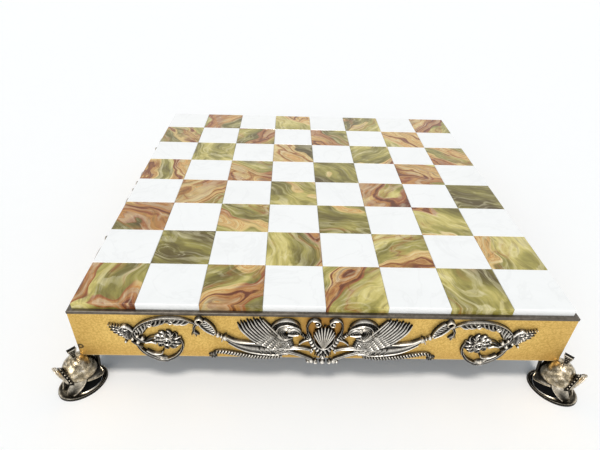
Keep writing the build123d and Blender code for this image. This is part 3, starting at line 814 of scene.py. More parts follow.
def draw_horn(relief):
    """The griffin's hindquarters, drawn out into a horn that a ribbed calyx closes, and its rope tail."""
    calyx = [(77.4, 26.8), (80.6, 31.2), (84.0, 35.8), (86.4, 39.2)]
    relief.form(calyx, [2.2, 5.4, 6.6, 5.0], [2.8], ribbed(7, 0.6), 42, 10)
    for side in (-1, 1):
        gaps = zip(calyx, (0.9, 2.9, 3.4, 2.7))
        edge = [(x - gap * side * 0.8, y + gap * side * 0.6) for (x, y), gap in gaps]
        relief.wire(edge, [0.9, 1.3, 1.4, 1.2], [3.5], 20)
    hook = [(88.8, 36.6), (90.4, 40.2), (87.8, 42.0), (85.4, 40.0), (86.6, 38.0)]
    relief.form(hook, [1.8, 1.9, 1.7, 1.1], [3.8], rounded, 26, 8, 0.25)
    joint = (((75.8, 25.4), 2.1, 3.7), ((73.4, 24.0), 1.5, 3.2), ((70.8, 22.8), 2.7, 3.9))
    for centre, radius, height in joint:
        relief.bead(centre, radius, height, 0.1)
    relief.wire([(73.2, 20.6), (72.0, 23.6), (70.0, 26.0)], [1.4, 1.8, 1.2], [3.8], 10)
    body = [(70.2, 21.4), (62, 15.2), (52, 11.6), (40, 10.4), (28, 12.0)]
    relief.form(body, [4.2, 7.4, 9.8, 10.6, 9.0], [3.0, 3.4, 3.7, 3.7, 3.2], horned, 36, 18)
    relief.wire([(69.6, 23.6), (64, 19.8), (57, 18.2), (49.6, 18.4)], [1.6, 2.6, 2.2, 0.8], [3.3], 20, 0.12)
    for k in range(5):
        root, tip = (47.0 - 3.6 * k, 13.6 - 0.4 * k), (44.6 - 3.4 * k, 9.0 - 0.3 * k)
        relief.wire([root, tip], [0.5, 1.0, 0.6], [3.9], 8)
    belly = [(68.8, 17.8), (61, 11.6), (52, 7.6), (40, 5.6), (32, 6.0)]
    relief.wire(belly, [0.7, 1.3, 1.5, 1.4, 0.8], [2.8], 26)
    tail = [(30, 3.6), (42, 2.4), (54, 3.2), (65, 5.6), (73, 7.4), (78, 7.0), (80.6, 4.6)]
    relief.form(tail, [2.4, 3.0, 3.4, 3.4, 2.8], [3.2], twisted(24), 168, 6, 0.05)
    for tip in ((84.2, 3.8), (83.8, 1.4), (82.0, -0.4), (79.6, -0.4), (78.0, 1.4)):
        relief.blade((80.6, 5.0), tip, 2.0, 2.4, 0, hatched, 10, 6)


QUILLS = 8
COVERT_ROWS, FIRST_COVERTS = 4, 8
COVERT_LENGTH, COVERT_WIDTH = 5.6, 2.7


def draw_wing(relief):
    """The wing: long quills behind, then rows of short feathers over the shoulder."""
    shoulder = [(27, 15), (33, 19.5), (38.4, 24.0), (42.4, 29.6)]
    relief.form(shoulder, [8, 13, 14, 9], [2.2, 2.6, 2.4, 1.8], combed(7), 20, 28)
    for k in range(QUILLS):
        s = k / (QUILLS - 1)
        line = [(35.6 + 11.4 * s, 27.0 - 9.6 * s), (40.2 + 13.4 * s, 33.0 - 9.0 * s),
                (43.6 + 15.2 * s, 38.0 - 7.4 * s), (46.0 + 15.6 * s, 42.2 - 4.0 * s**2 - 1.1 * (k % 2))]
        relief.form(line, [2.0, 2.8, 3.2, 3.2, 1.0], [2.6, 3.3, 3.1, 2.9, 2.0], ridge, 26, 10)
    lead = [(28.6, 20.4), (33.0, 27.4), (38.0, 34.0), (43.8, 41.8)]
    relief.wire(lead, [1.4, 1.8, 1.8, 1.4, 0.9], [3.0, 3.4, 3.3, 2.8], 26)
    for row in range(COVERT_ROWS):
        count = FIRST_COVERTS - row
        for k in range(count):
            s = k / (count - 1)
            outer = np.array([39.8 + 10.4 * s, 31.4 - 12.8 * s])
            inner = np.array([33.2 + 5.6 * s, 21.4 - 8.8 * s])
            tip = outer + (inner - outer) * row / (COVERT_ROWS - 1)
            turn = radians(56 - 36 * s)
            root = tip - COVERT_LENGTH * np.array([cos(turn), sin(turn)])
            relief.blade(root, tip, COVERT_WIDTH, 3.1 + 0.18 * row, 0.06, feather, 14, 8)


def draw_head(relief):
    """The griffin's head under its arched crest, and its forelegs."""
    relief.form([(36.0, 12.0), (30.6, 8.4), (25.4, 7.4)], [6.0, 8.0, 4.6], [3.1, 3.3, 3.0], combed(4), 18, 16)
    neck = [(30.4, 24.4), (28.0, 19.4), (26.2, 14.0), (26.0, 10.4)]
    relief.form(neck, [9.0, 10.6, 10.4, 8.0], [3.0, 3.4, 3.5, 3.2], scaled_neck, 40, 16)
    head = [(22.8, 33.0), (26.2, 34.4), (30.0, 33.8), (32.2, 30.4), (31.6, 26.4), (28.6, 22.6)]
    relief.form(head, [5.2, 8.2, 9.0, 9.2, 8.8, 7.0], [3.7, 3.9, 3.9, 3.8, 3.6, 3.4], combed(7), 44, 28)
    crest = [(33.0, 24.2), (36.2, 28.0), (37.2, 32.6), (35.2, 37.4), (30.4, 40.6), (24.4, 40.8), (20.0, 38.4),
             (17.6, 35.2)]
    relief.form(crest, [1.4, 2.2, 2.6, 2.6, 2.4, 2.2, 2.0, 1.0], [3.4, 3.7, 3.8, 3.7], bordered, 54, 10)
    inner = [(33.4, 28.6), (33.9, 32.6), (31.9, 36.2), (27.4, 37.9), (22.6, 37.0), (19.8, 34.8)]
    relief.wire(inner, [0.7, 1.1, 1.2, 1.2, 1.0, 0.5], [4.0, 4.1, 4.0], 34)
    relief.form([(26.4, 29.8), (21.6, 29.6), (18.0, 28.6)], [6.0, 4.4, 1.6], [3.4, 2.8], hatched, 16, 8)
    beak = [(25.8, 33.0), (20.8, 33.4), (16.8, 29.2)]
    relief.form(beak, [6.0, 5.0, 1.0], [4.0, 3.8, 3.2], combed(3, 0.6), 18, 14)
    brow = [(26.8, 36.4), (22.4, 36.4), (18.4, 34.2), (16.4, 30.4)]
    relief.wire(brow, [0.9, 1.4, 1.2, 0.5], [4.1, 4.1, 3.6], 22)
    relief.wire([(26.0, 27.6), (22.0, 26.8), (18.4, 27.2)], [2.4, 1.9, 0.7], [3.7, 3.6, 3.0], 12)
    relief.curl((25.2, 33.2), 1.8, 150, 1.05, [0.7, 0.6], 4.3, way=-1)
    relief.bead((25.1, 33.1), 0.7, 4.3)
    throat = [(34.2, 25.6), (31.0, 22.8), (27.0, 22.2), (22.6, 24.4)]
    relief.form(throat, [1.8, 2.2, 2.0, 1.0], [3.8], grooved, 24, 8)
    raised_leg = [(28.6, 12.0), (21, 13.0), (14, 12.4), (9.0, 10.8)]
    relief.form(raised_leg, [5.4, 3.8, 2.8, 2.6], [3.2, 3.3, 3.0], combed(3), 22, 14)
    lower_leg = [(26.8, 8.8), (18, 5.6), (12, 2.4), (8.6, 0.2)]
    relief.form(lower_leg, [4.4, 3.2, 2.8, 3.2], [3.2, 3.1, 3.0], combed(3), 22, 14)
    for toe in ((8.6, 12.0), (8.0, 10.4), (8.8, 9.2)):
        relief.bead(toe, 1.1, 3.3)
    for toe, radius in (((8.2, -1.2), 2.4), ((5.4, -2.4), 1.5), ((10.8, -1.4), 1.5)):
        relief.bead(toe, radius, 3.4)


FLUTES, FLUTE_SPREAD = 9, 6.6


def draw_shell(relief):
    """The shell, the ribbed band that holds it, the upright volutes and the drop below."""
    heart = np.array([0.0, 13.0])
    for k in range(FLUTES):
        off = k - (FLUTES - 1) / 2
        way = np.array([sin(radians(FLUTE_SPREAD * off)), cos(radians(FLUTE_SPREAD * off))])
        reach = 22.6 - 0.36 * off**2
        line = [heart + way * 1.5, heart + way * reach * 0.5, heart + way * reach]
        relief.form(line, [0.8, 1.5, 2.3, 2.7, 1.7], [3.4, 3.8, 3.2], fluted, 22, 12)
    band = [(-10.6, 26.0), (-9.2, 19.4), (-5.4, 12.6), (0, 9.4), (5.4, 12.6), (9.2, 19.4), (10.6, 26.0)]
    relief.form(band, [2.8, 3.6, 4.2, 3.6, 2.8], [3.3, 3.7, 3.3], ribbed(13), 104, 8)
    inner = [(-7.6, 25.2), (-6.6, 19.8), (-3.6, 14.8), (0, 13.0), (3.6, 14.8), (6.6, 19.8), (7.6, 25.2)]
    relief.wire(inner, [0.9, 1.2, 0.9], [3.5], 44)
    relief.bead((0, 13.0), 2.4, 3.8)
    relief.form([(-5.4, 7.6), (0, 5.2), (5.4, 7.6)], [3.6, 4.6, 3.6], [3.4], ribbed(5), 30, 8)
    lyre = [(10.6, 25.2), (12.2, 30.4), (12.4, 35.4), (10.8, 40.4), (8.4, 42.0)]
    spiral = [(8.8, 41.8), (5.6, 41.6), (3.4, 39.4), (4.4, 36.8), (6.6, 37.2), (6.6, 39.2), (5.4, 39.4)]
    wave = [(10.6, 23.4), (14.0, 24.6), (16.4, 27.2), (19.6, 27.8), (22.0, 26.0)]
    sprig = [(10, 22), (14.2, 20.4), (17.8, 17.2)]
    for side in (-1, 1):
        for line, widths, height, shape, steps, across, warm in (
            (lyre, [2.6, 1.8, 1.6, 1.6, 1.2], 3.4, grooved, 30, 8, 0.0),
            (spiral, [1.4, 1.4, 1.3, 1.0, 0.8], 3.8, rounded, 36, 6, 0.12),
            (wave, [2.6, 2.6, 2.4, 2.0, 1.4], 3.0, ribbed(7, 0.5), 30, 8, 0.1),
            (sprig, [1.8, 1.8, 1.2], 2.6, rounded, 14, 6, 0.0),
        ):
            relief.form([(side * u, v) for u, v in line], widths, [height], shape, steps, across, warm)
    relief.bead((0, -1.8), 2.5, 3.6)
    relief.bead((0, 3.0), 1.8, 3.4)
    for side in (-1, 1):
        relief.curl((4.6 * side, -1.4), 1.9, 90, 0.9, [1.0, 0.8], 3.2, way=-side)


def across_bowl(around_it, rise, inset):
    """A point of the helmet's bowl: how far round it from the front, and how far up, as angles."""
    long, short, high = (size - inset for size in BOWL)
    return np.stack([
        long * np.cos(rise) * np.cos(around_it) - BOWL_BACK,
        short * np.cos(rise) * np.sin(around_it),
        BOWL_CENTRE + high * np.sin(rise) + 0 * around_it,
    ], -1)


def opening_rise(around_it):
    """How far up the bowl the arched face opening reaches, all round the bowl."""
    share = np.clip(np.abs(around_it) / OPENING_HALF, 0, 1)
    return BOWL_RIM_RISE + OPENING_RISE * np.sqrt(1 - share**2.4)


def draw_bowl(foot):
    """The helmet's bowl, open at the face and notched for the corner of the frame."""
    turn = np.linspace(-pi, pi, 145)[:-1, None]
    low = opening_rise(turn)
    steps = np.linspace(0, 1, 41)[None, :]
    outer, inner = [across_bowl(turn, low + (BOWL_TOP - low) * steps, inset) for inset in (0.0, SHEET)]
    beside = outer[..., 0] - NOTCH_TIP + np.abs(outer[..., 1])
    outer[..., 2] = np.minimum(outer[..., 2], foot_high - FRAME_GAP + NOTCH_SLOPE * np.clip(beside, 0, 1))
    inner[..., 2] = np.minimum(inner[..., 2], foot_high - SHEET)
    # Painted reflections: the outside is patchy, darker and lighter in lobes; the inside is dark with patina
    # and takes a warm painted reflection of the gilt
    lobes = np.sin(5 * turn + 2.2 * np.sin(9 * steps)) * np.sin(11 * steps + 1.7 * np.cos(3 * turn))
    foot.sheet(outer, inner, 0.08 + 0.13 * lobes, 0.95, 0.4, closed=True)


def draw_neck_guard(foot):
    """The flared neck guard and the bright wire along its edge."""
    half = np.array(NECK_EDGE, float)
    edge = along(np.vstack([half, half[-2::-1] * (1, -1, 1)]), 73)[0][:, None]
    turn = np.linspace(NECK_FRONT, 2 * pi - NECK_FRONT, 73)[:, None]
    level = np.linspace(0, 1, 11)[None, :, None]
    grids = []
    for inset in (0.0, SHEET):
        long, short, shift, height = rim_of_bowl(inset)
        top = np.stack([long * np.cos(turn) + shift, short * np.sin(turn), height + 0 * turn], -1)
        foot_line = edge - inset * np.stack([np.cos(turn), np.sin(turn), -0.6 + 0 * turn], -1)
        hollow = np.concatenate([level**NECK_CURVE, level**NECK_CURVE, level], -1)
        grids.append(top + (foot_line - top) * hollow)
    # Painted shade: the sheet is darker in the hollow next to the bowl and more so toward the back, under the
    # board
    rear = np.clip(-np.cos(turn), 0, 1)
    foot.sheet(grids[0], grids[1], np.clip(0.70 + 0.20 * rear - 0.95 * level[..., 0], 0, 1), 1.0)
    foot.rod(edge[::4, 0], [NECK_WIRE], warm=0.2, steps=90)


def draw_cheek(foot, side):
    """One cheek guard: a flared plate with a swept rear edge, standing on the collar."""
    level = np.linspace(0, 1, 21)[:, None]
    rear = CHEEK_REAR + CHEEK_SWEEP * level**2
    front = CHEEK_FRONT_TOP + (CHEEK_FRONT_FOOT - CHEEK_FRONT_TOP) * level
    sizes = [h + (l - h) * level**CHEEK_CURVE for l, h in zip(CHEEK_FOOT, rim_of_bowl(0))]
    back_turn = np.arccos(np.clip((rear - sizes[2]) / sizes[0], -1, 1))
    front_turn = np.arcsin(np.clip(front / sizes[1], -1, 1))
    share = np.linspace(0, 1, 17)[None, :]
    turn = front_turn + (back_turn - front_turn) * share
    plump = CHEEK_PLUMP * np.sin(pi * share) * np.sin(pi * level)
    grids = []
    for inset in (0.0, SHEET):
        grids.append(np.stack([
            (sizes[0] - inset + plump) * np.cos(turn) + sizes[2],
            side * (sizes[1] - inset + plump) * np.sin(turn),
            sizes[3] + 0 * turn,
        ], -1))
    # The outer face darkens low in its middle, and the inner side takes a warm painted reflection of the gilt
    middle = np.exp(-(((share - 0.5) / 0.3) ** 2))
    foot.sheet(grids[0], grids[1], 0.04 + 0.46 * middle * np.clip(1.6 * level - 0.25, 0, 1), 0.45, 0.35)
    foot.rod(grids[0][::2, -1], CHEEK_REAR_WIRE, steps=40)
    foot.rod(grids[0][::2, 0], CHEEK_FRONT_WIRE, steps=32)


def brow_line(count=41):
    """Places along the middle of the brow band, the ways out from the helmet there, and the peak's way."""
    half = np.array(BROW_PLACES, float)
    line = np.vstack([half[::-1] * (1, -1, 1), half[1:]])
    places, ways = along(line, count)
    reach = np.array([cos(PEAK_RISE), 0, sin(PEAK_RISE)])
    out = np.cross(reach, ways)
    return places, out / np.linalg.norm(out, axis=1, keepdims=True), reach


def draw_brow(foot):
    """The brow's dark band between two bright wires, and the peak that stands out from it."""
    places, out, reach = brow_line()
    share = np.linspace(0, 1, len(places))[:, None]
    taper = np.sin(pi * share) ** 0.7
    steps = np.linspace(0, 1, 9)[None, :, None]
    root, lip = places - BROW_ABOVE * reach, places + BROW_BELOW * reach
    tip = lip + PEAK_REACH * taper * reach + PEAK_LIFT * taper * out
    # The band is dark between its wires; the backs of band and peak take a faint warm painted reflection of
    # the gilt
    for start, end, dark in ((root, lip, 0.9), (lip, tip, 0.0)):
        middle = start[:, None] + (end - start)[:, None] * steps
        dish = (end is tip) * PEAK_DISH * np.sin(pi * steps) * taper[:, None] * out[:, None]
        face, back = [middle + side * out[:, None] - dish for side in (BROW_FACE, -BROW_BACK)]
        foot.sheet(face, back, dark, 0.35, 0.15)
    for shift in (-BROW_BELOW, BROW_BELOW):
        foot.rod((places + shift * reach + BROW_WIRE_OUT * out)[::4], [BROW_WIRE], 0.42, steps=60)
    foot.rod(tip[2:-2:3], PEAK_WIRE, steps=60)
    foot.rod((tip - PEAK_LINE_BACK * taper * reach + BEAD_OUT * out)[3:-3:3], PEAK_LINE, steps=50)


def draw_strap(foot):
    """The strap behind the bowl that takes the foot screw up to the frame."""
    half = STRAP_WIDTH / 2
    line, ways = along(STRAP_LINE, 25)
    side = np.stack([-ways[:, 1], ways[:, 0]], 1) * STRAP_SHEET / 2
    rings = []
    for (a, z), (da, dz) in zip(line, side):
        rings.append([(a + s * da, t * half, z + s * dz) for s, t in ((1, -1), (1, 1), (-1, 1), (-1, -1))])
    foot.loft(rings, 0.55)
    back, tip = STRAP_LINE[-1][0] - STRAP_PAD, STRAP_LINE[-1][0] + STRAP_LIP
    top, under = foot_high, foot_high - STRAP_SHEET
    pad = [(tip, top), (back, top), (back, under), (tip, under)]
    foot.loft([[(a, b, z) for a, z in pad] for b in (-half, half)], 0.5)


def oval(sizes, turn):
    """Points of an oval round the foot, given its half length, half width and how far back it lies."""
    return np.stack([sizes[0] * np.cos(turn) - sizes[2], sizes[1] * np.sin(turn)], -1)


def draw_collar(collar):
    """The oval collar: a dark wire edge, a bright line, and a hollow slope down to its opening."""
    turn = np.linspace(0, 2 * pi, 97)[:-1, None]
    outline, hole, low = oval((*COLLAR[:2], 0), turn), oval(HOLE, turn), oval(HOLE_FOOT, turn)
    profile = np.array(COLLAR_PROFILE)
    share, level, dark, warm = profile[:, 0][None, :, None], profile[:, 1], profile[:, 2], profile[:, 3]
    flat = hole + (outline - hole) * share
    broad = np.linalg.norm(outline - hole, axis=-1, keepdims=True) / COLLAR_BROAD
    z = level[None, :, None] * COLLAR[2] + 0 * flat[..., :1]
    ripple = COLLAR_RIPPLE * np.sin(7 * turn + 0.6)[..., None] * np.sin(pi * share) ** 2
    ripple = ripple * np.clip(broad, 0, 1) * (z > 0.1)
    rings = np.concatenate([flat, np.clip(z + ripple, 0, COLLAR[2])], -1)
    rings = np.concatenate([np.concatenate([low, 0 * low[..., :1]], -1), rings], 1)

    # The wall of the opening comes first in each ring; painted shade darkens the hollow parts away from the
    # near end, under the board, and the near end takes a warm painted reflection of the gilt
    near = np.clip(np.cos(turn), 0, 1)
    hollow = np.concatenate([[0.0], dark]) > 0.2
    darks = np.concatenate([[1.0], dark])[None, :] + (1 - near) * 0.25 * hollow[None, :]
    warms = np.concatenate([[0.0], warm])[None, :] * near**0.5
    collar.loft(rings, np.clip(darks, 0, 1), warms, closed=True)


def draw_socket(socket):
    """The crest socket: a fan with raised edges round a dark, pierced face, on a small plinth."""
    low, neck, top = crown_high, crown_high + SOCKET_PLINTH[1], crown_high + SOCKET[2]
    levels = np.linspace(0, 1, 9)
    half_widths = SOCKET[0] / 2 + (SOCKET[1] - SOCKET[0]) / 2 * levels**1.2
    z = neck + (top - neck) * levels
    thick = SOCKET[3] / 2
    for side in (-1, 1):
        inner, outer = side * SOCKET_SLOT / 2, side * (thick - SOCKET_INLAY)
        corners = ((-1, inner), (1, inner), (1, outer), (-1, outer))
        rings = [[(SOCKET_PLACE + s * w, b, h) for s, b in corners] for w, h in zip(half_widths, z)]
        socket.loft(rings, 0.45)
        for edge in (-1, 1):
            line = [(SOCKET_PLACE + edge * (w - SOCKET_EDGE), outer, h) for w, h in zip(half_widths, z)]
            line[-1] = (*line[-1][:2], line[-1][2] - SOCKET_INLAY)
            socket.rod(line, [SOCKET_WIRE], steps=16, sides=6)
        spots, reach = np.linspace(-1, 1, 7), half_widths[-1] - SOCKET_EDGE
        arch = [(SOCKET_PLACE + s * reach, outer, top - SOCKET_TOP_WIRE - 0.2 * (1 - s * s)) for s in spots]
        socket.rod(arch, [SOCKET_TOP_WIRE], steps=16, sides=6)
        for share, count in STUD_ROWS:
            b, h = side * (thick - STUD_DEEP), neck + (top - neck) * share
            for k in range(count):
                a = SOCKET_PLACE + (k - (count - 1) / 2) * STUD_GAP
                socket.rod([(a - 0.3, b, h), (a + 0.3, b, h)], STUD, steps=6, sides=6)
    half, floor = SOCKET[0] / 2, top - SOCKET_DEPTH
    web = [(-half, neck), (half, neck), (half + SOCKET_SPREAD, floor), (-half - SOCKET_SPREAD, floor)]
    slot = (-SOCKET_SLOT / 2, SOCKET_SLOT / 2)
    socket.loft([[(SOCKET_PLACE + a, b, h) for a, h in web] for b in slot], 0.9)
    turn = np.linspace(0, 2 * pi, 25)[:-1]
    plinth = ((0.02, low), (1.0, low), (1.0, low + 0.7), (0.82, low + 1.0), (0.78, neck + 0.2),
              (0.02, neck + 0.2))
    rings = []
    for radius, h in plinth:
        a = SOCKET_PLACE + radius * SOCKET_PLINTH[0] / 2 * np.cos(turn)
        rings.append(np.stack([a, radius * thick * np.sin(turn), h + 0 * turn], -1))
    socket.loft(rings, 0.2)


def colour_setting(name, description, default):
    """A setting for a colour."""
    return bpy.props.FloatVectorProperty(name=name, description=description, subtype="COLOR", default=default)


class ChessBoardSettings(bpy.types.PropertyGroup):
    """Sizes and colours that a user may change."""

    joint: bpy.props.FloatProperty(
        name="Joint", description="Gap between two squares, in mm", default=0.15, min=0, precision=3)
    tile_edge: bpy.props.FloatProperty(
        name="Square edge", description="Chamfer on a square's top edges, in mm", default=0.35, min=0.05)
    relief_rim: bpy.props.FloatProperty(
        name="Casting edge", description="Thickness of a casting at its edge, in mm", default=0.5, min=0.2)
    bead: bpy.props.FloatProperty(
        name="Bead", description="Radius of the beads over a helmet's brow, in mm", default=0.54, min=0.2)
    beads: bpy.props.IntProperty(
        name="Beads", description="Number of beads over a helmet's brow", default=11, min=3)
    onyx_vein: colour_setting("Onyx vein", "Colour of the onyx's veins", (0.36, 0.10, 0.045))
    marble: colour_setting("Marble", "Colour of the marble", (0.95, 0.95, 0.935))
    gilt_low: colour_setting("Gilt, dull", "Colour of the dull gilt", (0.53, 0.32, 0.07))
    gilt_brown: colour_setting("Gilt, browned", "Colour of the gilt in its shaded parts", (0.40, 0.20, 0.04))
    gilt_high: colour_setting("Gilt, bright", "Colour of the bright gilt", (0.87, 0.61, 0.19))
    silver: colour_setting("Silver", "Colour of the silver", (1.0, 0.955, 0.87))
    pewter: colour_setting("Pewter", "Colour of the rim", (0.070, 0.060, 0.048))
    pewter_worn: colour_setting("Pewter, rubbed", "Colour of the rim's worn places", (0.20, 0.175, 0.145))


# Where in the stone a square may be cut, and how far it may be turned
CUT_RANGE = ((0, 0, 0.2), (9, 9, 2.6))

# How warm, how dark and how red each kind of onyx is, and the kinds laid in each rank
STONE_KINDS = {
    "rose": (0.54, 0.10, 0.80),
    "wine": (0.66, 0.60, 0.90),
    "amber": (0.58, 0.05, 0.25),
    "swirl": (0.50, 0.10, 0.45),
    "moss": (0.40, 0.45, 0.75),
    "olive": (0.20, 0.75, 0.20),
    "lime": (0.34, 0.00, 0.60),
}
ONYX_RANKS = (
    "rose moss rose lime",
    "olive swirl lime amber",
    "wine moss olive amber",
    "moss swirl lime olive",
    "amber moss olive rose",
    "amber olive amber swirl",
    "moss wine moss amber",
    "wine amber moss rose",
)


def point_tree(name, numbers, draw):
    """Nodes that set what draw makes on each point. Their inputs are these numbers and a finish."""
    tree = bpy.data.node_groups.new(name, "GeometryNodeTree")
    face = tree.interface
    face.new_socket("Geometry", in_out="INPUT", socket_type="NodeSocketGeometry")
    for number in numbers:
        face.new_socket(number, in_out="INPUT", socket_type="NodeSocketFloat")
    face.new_socket("Finish", in_out="INPUT", socket_type="NodeSocketMaterial")
    face.new_socket("Geometry", in_out="OUTPUT", socket_type="NodeSocketGeometry")
    nodes = Nodes(tree)
    given = nodes.make("NodeGroupInput")
    made = draw(nodes, *[given.out(number) for number in numbers])
    spread = nodes.make("GeometryNodeInstanceOnPoints", None, {"Points": given, "Instance": made})
    real = nodes.make("GeometryNodeRealizeInstances", None, {"Geometry": spread})
    painted = nodes.make("GeometryNodeSetMaterial", None, {"Geometry": real, "Material": given.out("Finish")})
    nodes.make("NodeGroupOutput", None, {0: painted})
    return tree


def stone_square(nodes, side, thick, edge):
    """One closed stone square with chamfered top edges."""
    outline = nodes.make("GeometryNodeCurvePrimitiveQuadrilateral", None, {"Width": side, "Height": side})
    flat = nodes.make("GeometryNodeFillCurve", {"mode": "NGONS"}, {"Curve": outline})
    lift = nodes.make("ShaderNodeCombineXYZ", None, {2: 1.0})
    sockets = {"Mesh": flat, "Offset": lift, "Offset Scale": thick - edge}
    body = nodes.make("GeometryNodeExtrudeMesh", None, sockets)
    sockets = {"Mesh": body, "Selection": body.out("Top"), "Offset": lift, "Offset Scale": edge}
    top = nodes.make("GeometryNodeExtrudeMesh", None, sockets)
    sockets = {"Geometry": top, "Selection": top.out("Top"), "Scale": (side - edge * 2) / side}
    drawn_in = nodes.make("GeometryNodeScaleElements", None, sockets)
    under = nodes.make("GeometryNodeFlipFaces", None, {"Mesh": flat})
    solid = nodes.make("GeometryNodeJoinGeometry", None, {"Geometry": [drawn_in, under]})
    return nodes.make("GeometryNodeMergeByDistance", None, {"Geometry": solid, "Distance": STONE_WELD})


def round_bead(nodes, radius):
    """One smooth bead."""
    ball = nodes.make("GeometryNodeMeshIcoSphere", None, {"Radius": radius, "Subdivisions": 3})
    return nodes.make("GeometryNodeSetShadeSmooth", None, {"Geometry": ball})


def grown(name, carrier, tree, values):
    """The plain mesh that a tree makes on a carrier object, with the tree's inputs set by their names."""
    thing = bpy.data.objects.new(name, carrier)
    bpy.context.scene.collection.objects.link(thing)
    modifier = thing.modifiers.new(name, "NODES")
    modifier.node_group = tree
    inputs = {item.name: item.identifier for item in tree.interface.items_tree if item.in_out == "INPUT"}
    for key, value in values.items():
        modifier[inputs[key]] = value
    bpy.context.view_layer.update()
    result = bpy.data.meshes.new_from_object(thing.evaluated_get(bpy.context.evaluated_depsgraph_get()))
    thing.modifiers.remove(modifier)
    bpy.data.objects.remove(thing)
    if not len(result.polygons):
        raise RuntimeError(f"the nodes for {name} made nothing")
    return result


class BOARD_OT_squares(bpy.types.Operator):
    """Lay the onyx and marble squares"""

    bl_idname = "board.squares"
    bl_label = "Stone squares"

    def execute(self, context):
        settings = context.scene.chess_board
        random = np.random.default_rng(11)
        tree = point_tree("stone_squares", ("Side", "Thickness", "Edge"), stone_square)
        for colour, stone in enumerate(("onyx", "marble")):
            points, cuts, kinds = [], [], []
            for rank in range(RANKS):
                for file in range((rank + colour) % 2, FILES, 2):
                    x, y = [(place + 0.5) * square - slab_half for place in (file, rank)]
                    points.append((x * MM, y * MM, tile_low.z * MM))
                    kinds += STONE_KINDS[ONYX_RANKS[rank].split()[file // 2]]
                    cuts += random.uniform(*CUT_RANGE).tolist()
            carrier = bpy.data.meshes.new(f"{stone}_places")
            carrier.from_pydata(points, [], [])
            for mark, numbers in (("cut", cuts), ("kind", kinds)):
                layer = carrier.attributes.new(mark, "FLOAT_VECTOR", "POINT")
                layer.data.foreach_set("vector", numbers)
            values = {
                "Side": (square - settings.joint) * MM,
                "Thickness": (tile_high.z - tile_low.z) * MM,
                "Edge": settings.tile_edge * MM,
                "Finish": (onyx if stone == "onyx" else marble)(settings),
            }
            mesh = grown(f"{stone}_squares", carrier, tree, values)
            nodes = [f"{stone}_squares_rank_{rank + 1}" for rank in range(RANKS)]
            placed(f"{stone}_squares", mesh, nodes)
        return {"FINISHED"}


def dress(names, material):
    """Gives carried-over nodes a finish."""
    for name in names:
        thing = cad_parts[name]
        if not thing.material_slots:
            thing.data.materials.append(material)
        for slot in thing.material_slots:
            slot.material = material


class BOARD_OT_frame(bpy.types.Operator):
    """Gild the frame's walls and finish its rim"""

    bl_idname = "board.frame"
    bl_label = "Frame and rim"

    def execute(self, context):
        settings = context.scene.chess_board
        dress([f"frame_wall_{side}" for side in SIDES], gilt(settings))
        dress([f"rim_{side}" for side in SIDES], pewter(settings))
        return {"FINISHED"}


class BOARD_OT_joinery(bpy.types.Operator):
    """Finish the boards, blocks and screws underneath"""

    bl_idname = "board.joinery"
    bl_label = "Boards, blocks and screws"

    def execute(self, context):
        wood = timber("plain_wood", (0.62, 0.44, 0.26), (0.42, 0.27, 0.14), 0.5)
        paint = timber("black_paint", (0.030, 0.029, 0.028), (0.018, 0.018, 0.018), 0.55)
        dress(["bed_board", *[f"corner_block_{c}" for c in CORNERS]], wood)
        dress(["base_board"], paint)
        dress(["foot_screws"], steel())
        dress([f"felt_pad_{c}" for c in CORNERS], felt())
        return {"FINISHED"}


class BOARD_OT_scrolls(bpy.types.Operator):
    """Cast the two scrolls of each side"""

    bl_idname = "board.scrolls"
    bl_label = "Scroll castings"

    def execute(self, context):
        settings = context.scene.chess_board
        scroll = Relief(settings.relief_rim)
        for draw in (draw_ring, draw_flower, draw_stem, draw_plume):
            draw(scroll)
        material = silvered(settings, "scroll_silver")
        for side, turn in SIDES.items():
            scroll.casting(f"scroll_{side}_right", f"{side}_scroll_right_hand", turn, material)
            scroll.mirrored().casting(f"scroll_{side}_left", f"{side}_scroll_left_hand", turn, material)
        return {"FINISHED"}


class BOARD_OT_griffins(bpy.types.Operator):
    """Cast the griffins and shell of each side"""

    bl_idname = "board.griffins"
    bl_label = "Griffin castings"

    def execute(self, context):
        settings = context.scene.chess_board
        griffin = Relief(settings.relief_rim)
        for draw in (draw_horn, draw_wing, draw_head):
            draw(griffin)
        casting = Relief(settings.relief_rim)
        draw_shell(casting)
        casting.join(griffin).join(griffin.mirrored())
        material = silvered(settings, "griffin_silver")
        for side, turn in SIDES.items():
            casting.casting(f"griffins_{side}", f"{side}_griffins_and_shell", turn, material)
        return {"FINISHED"}


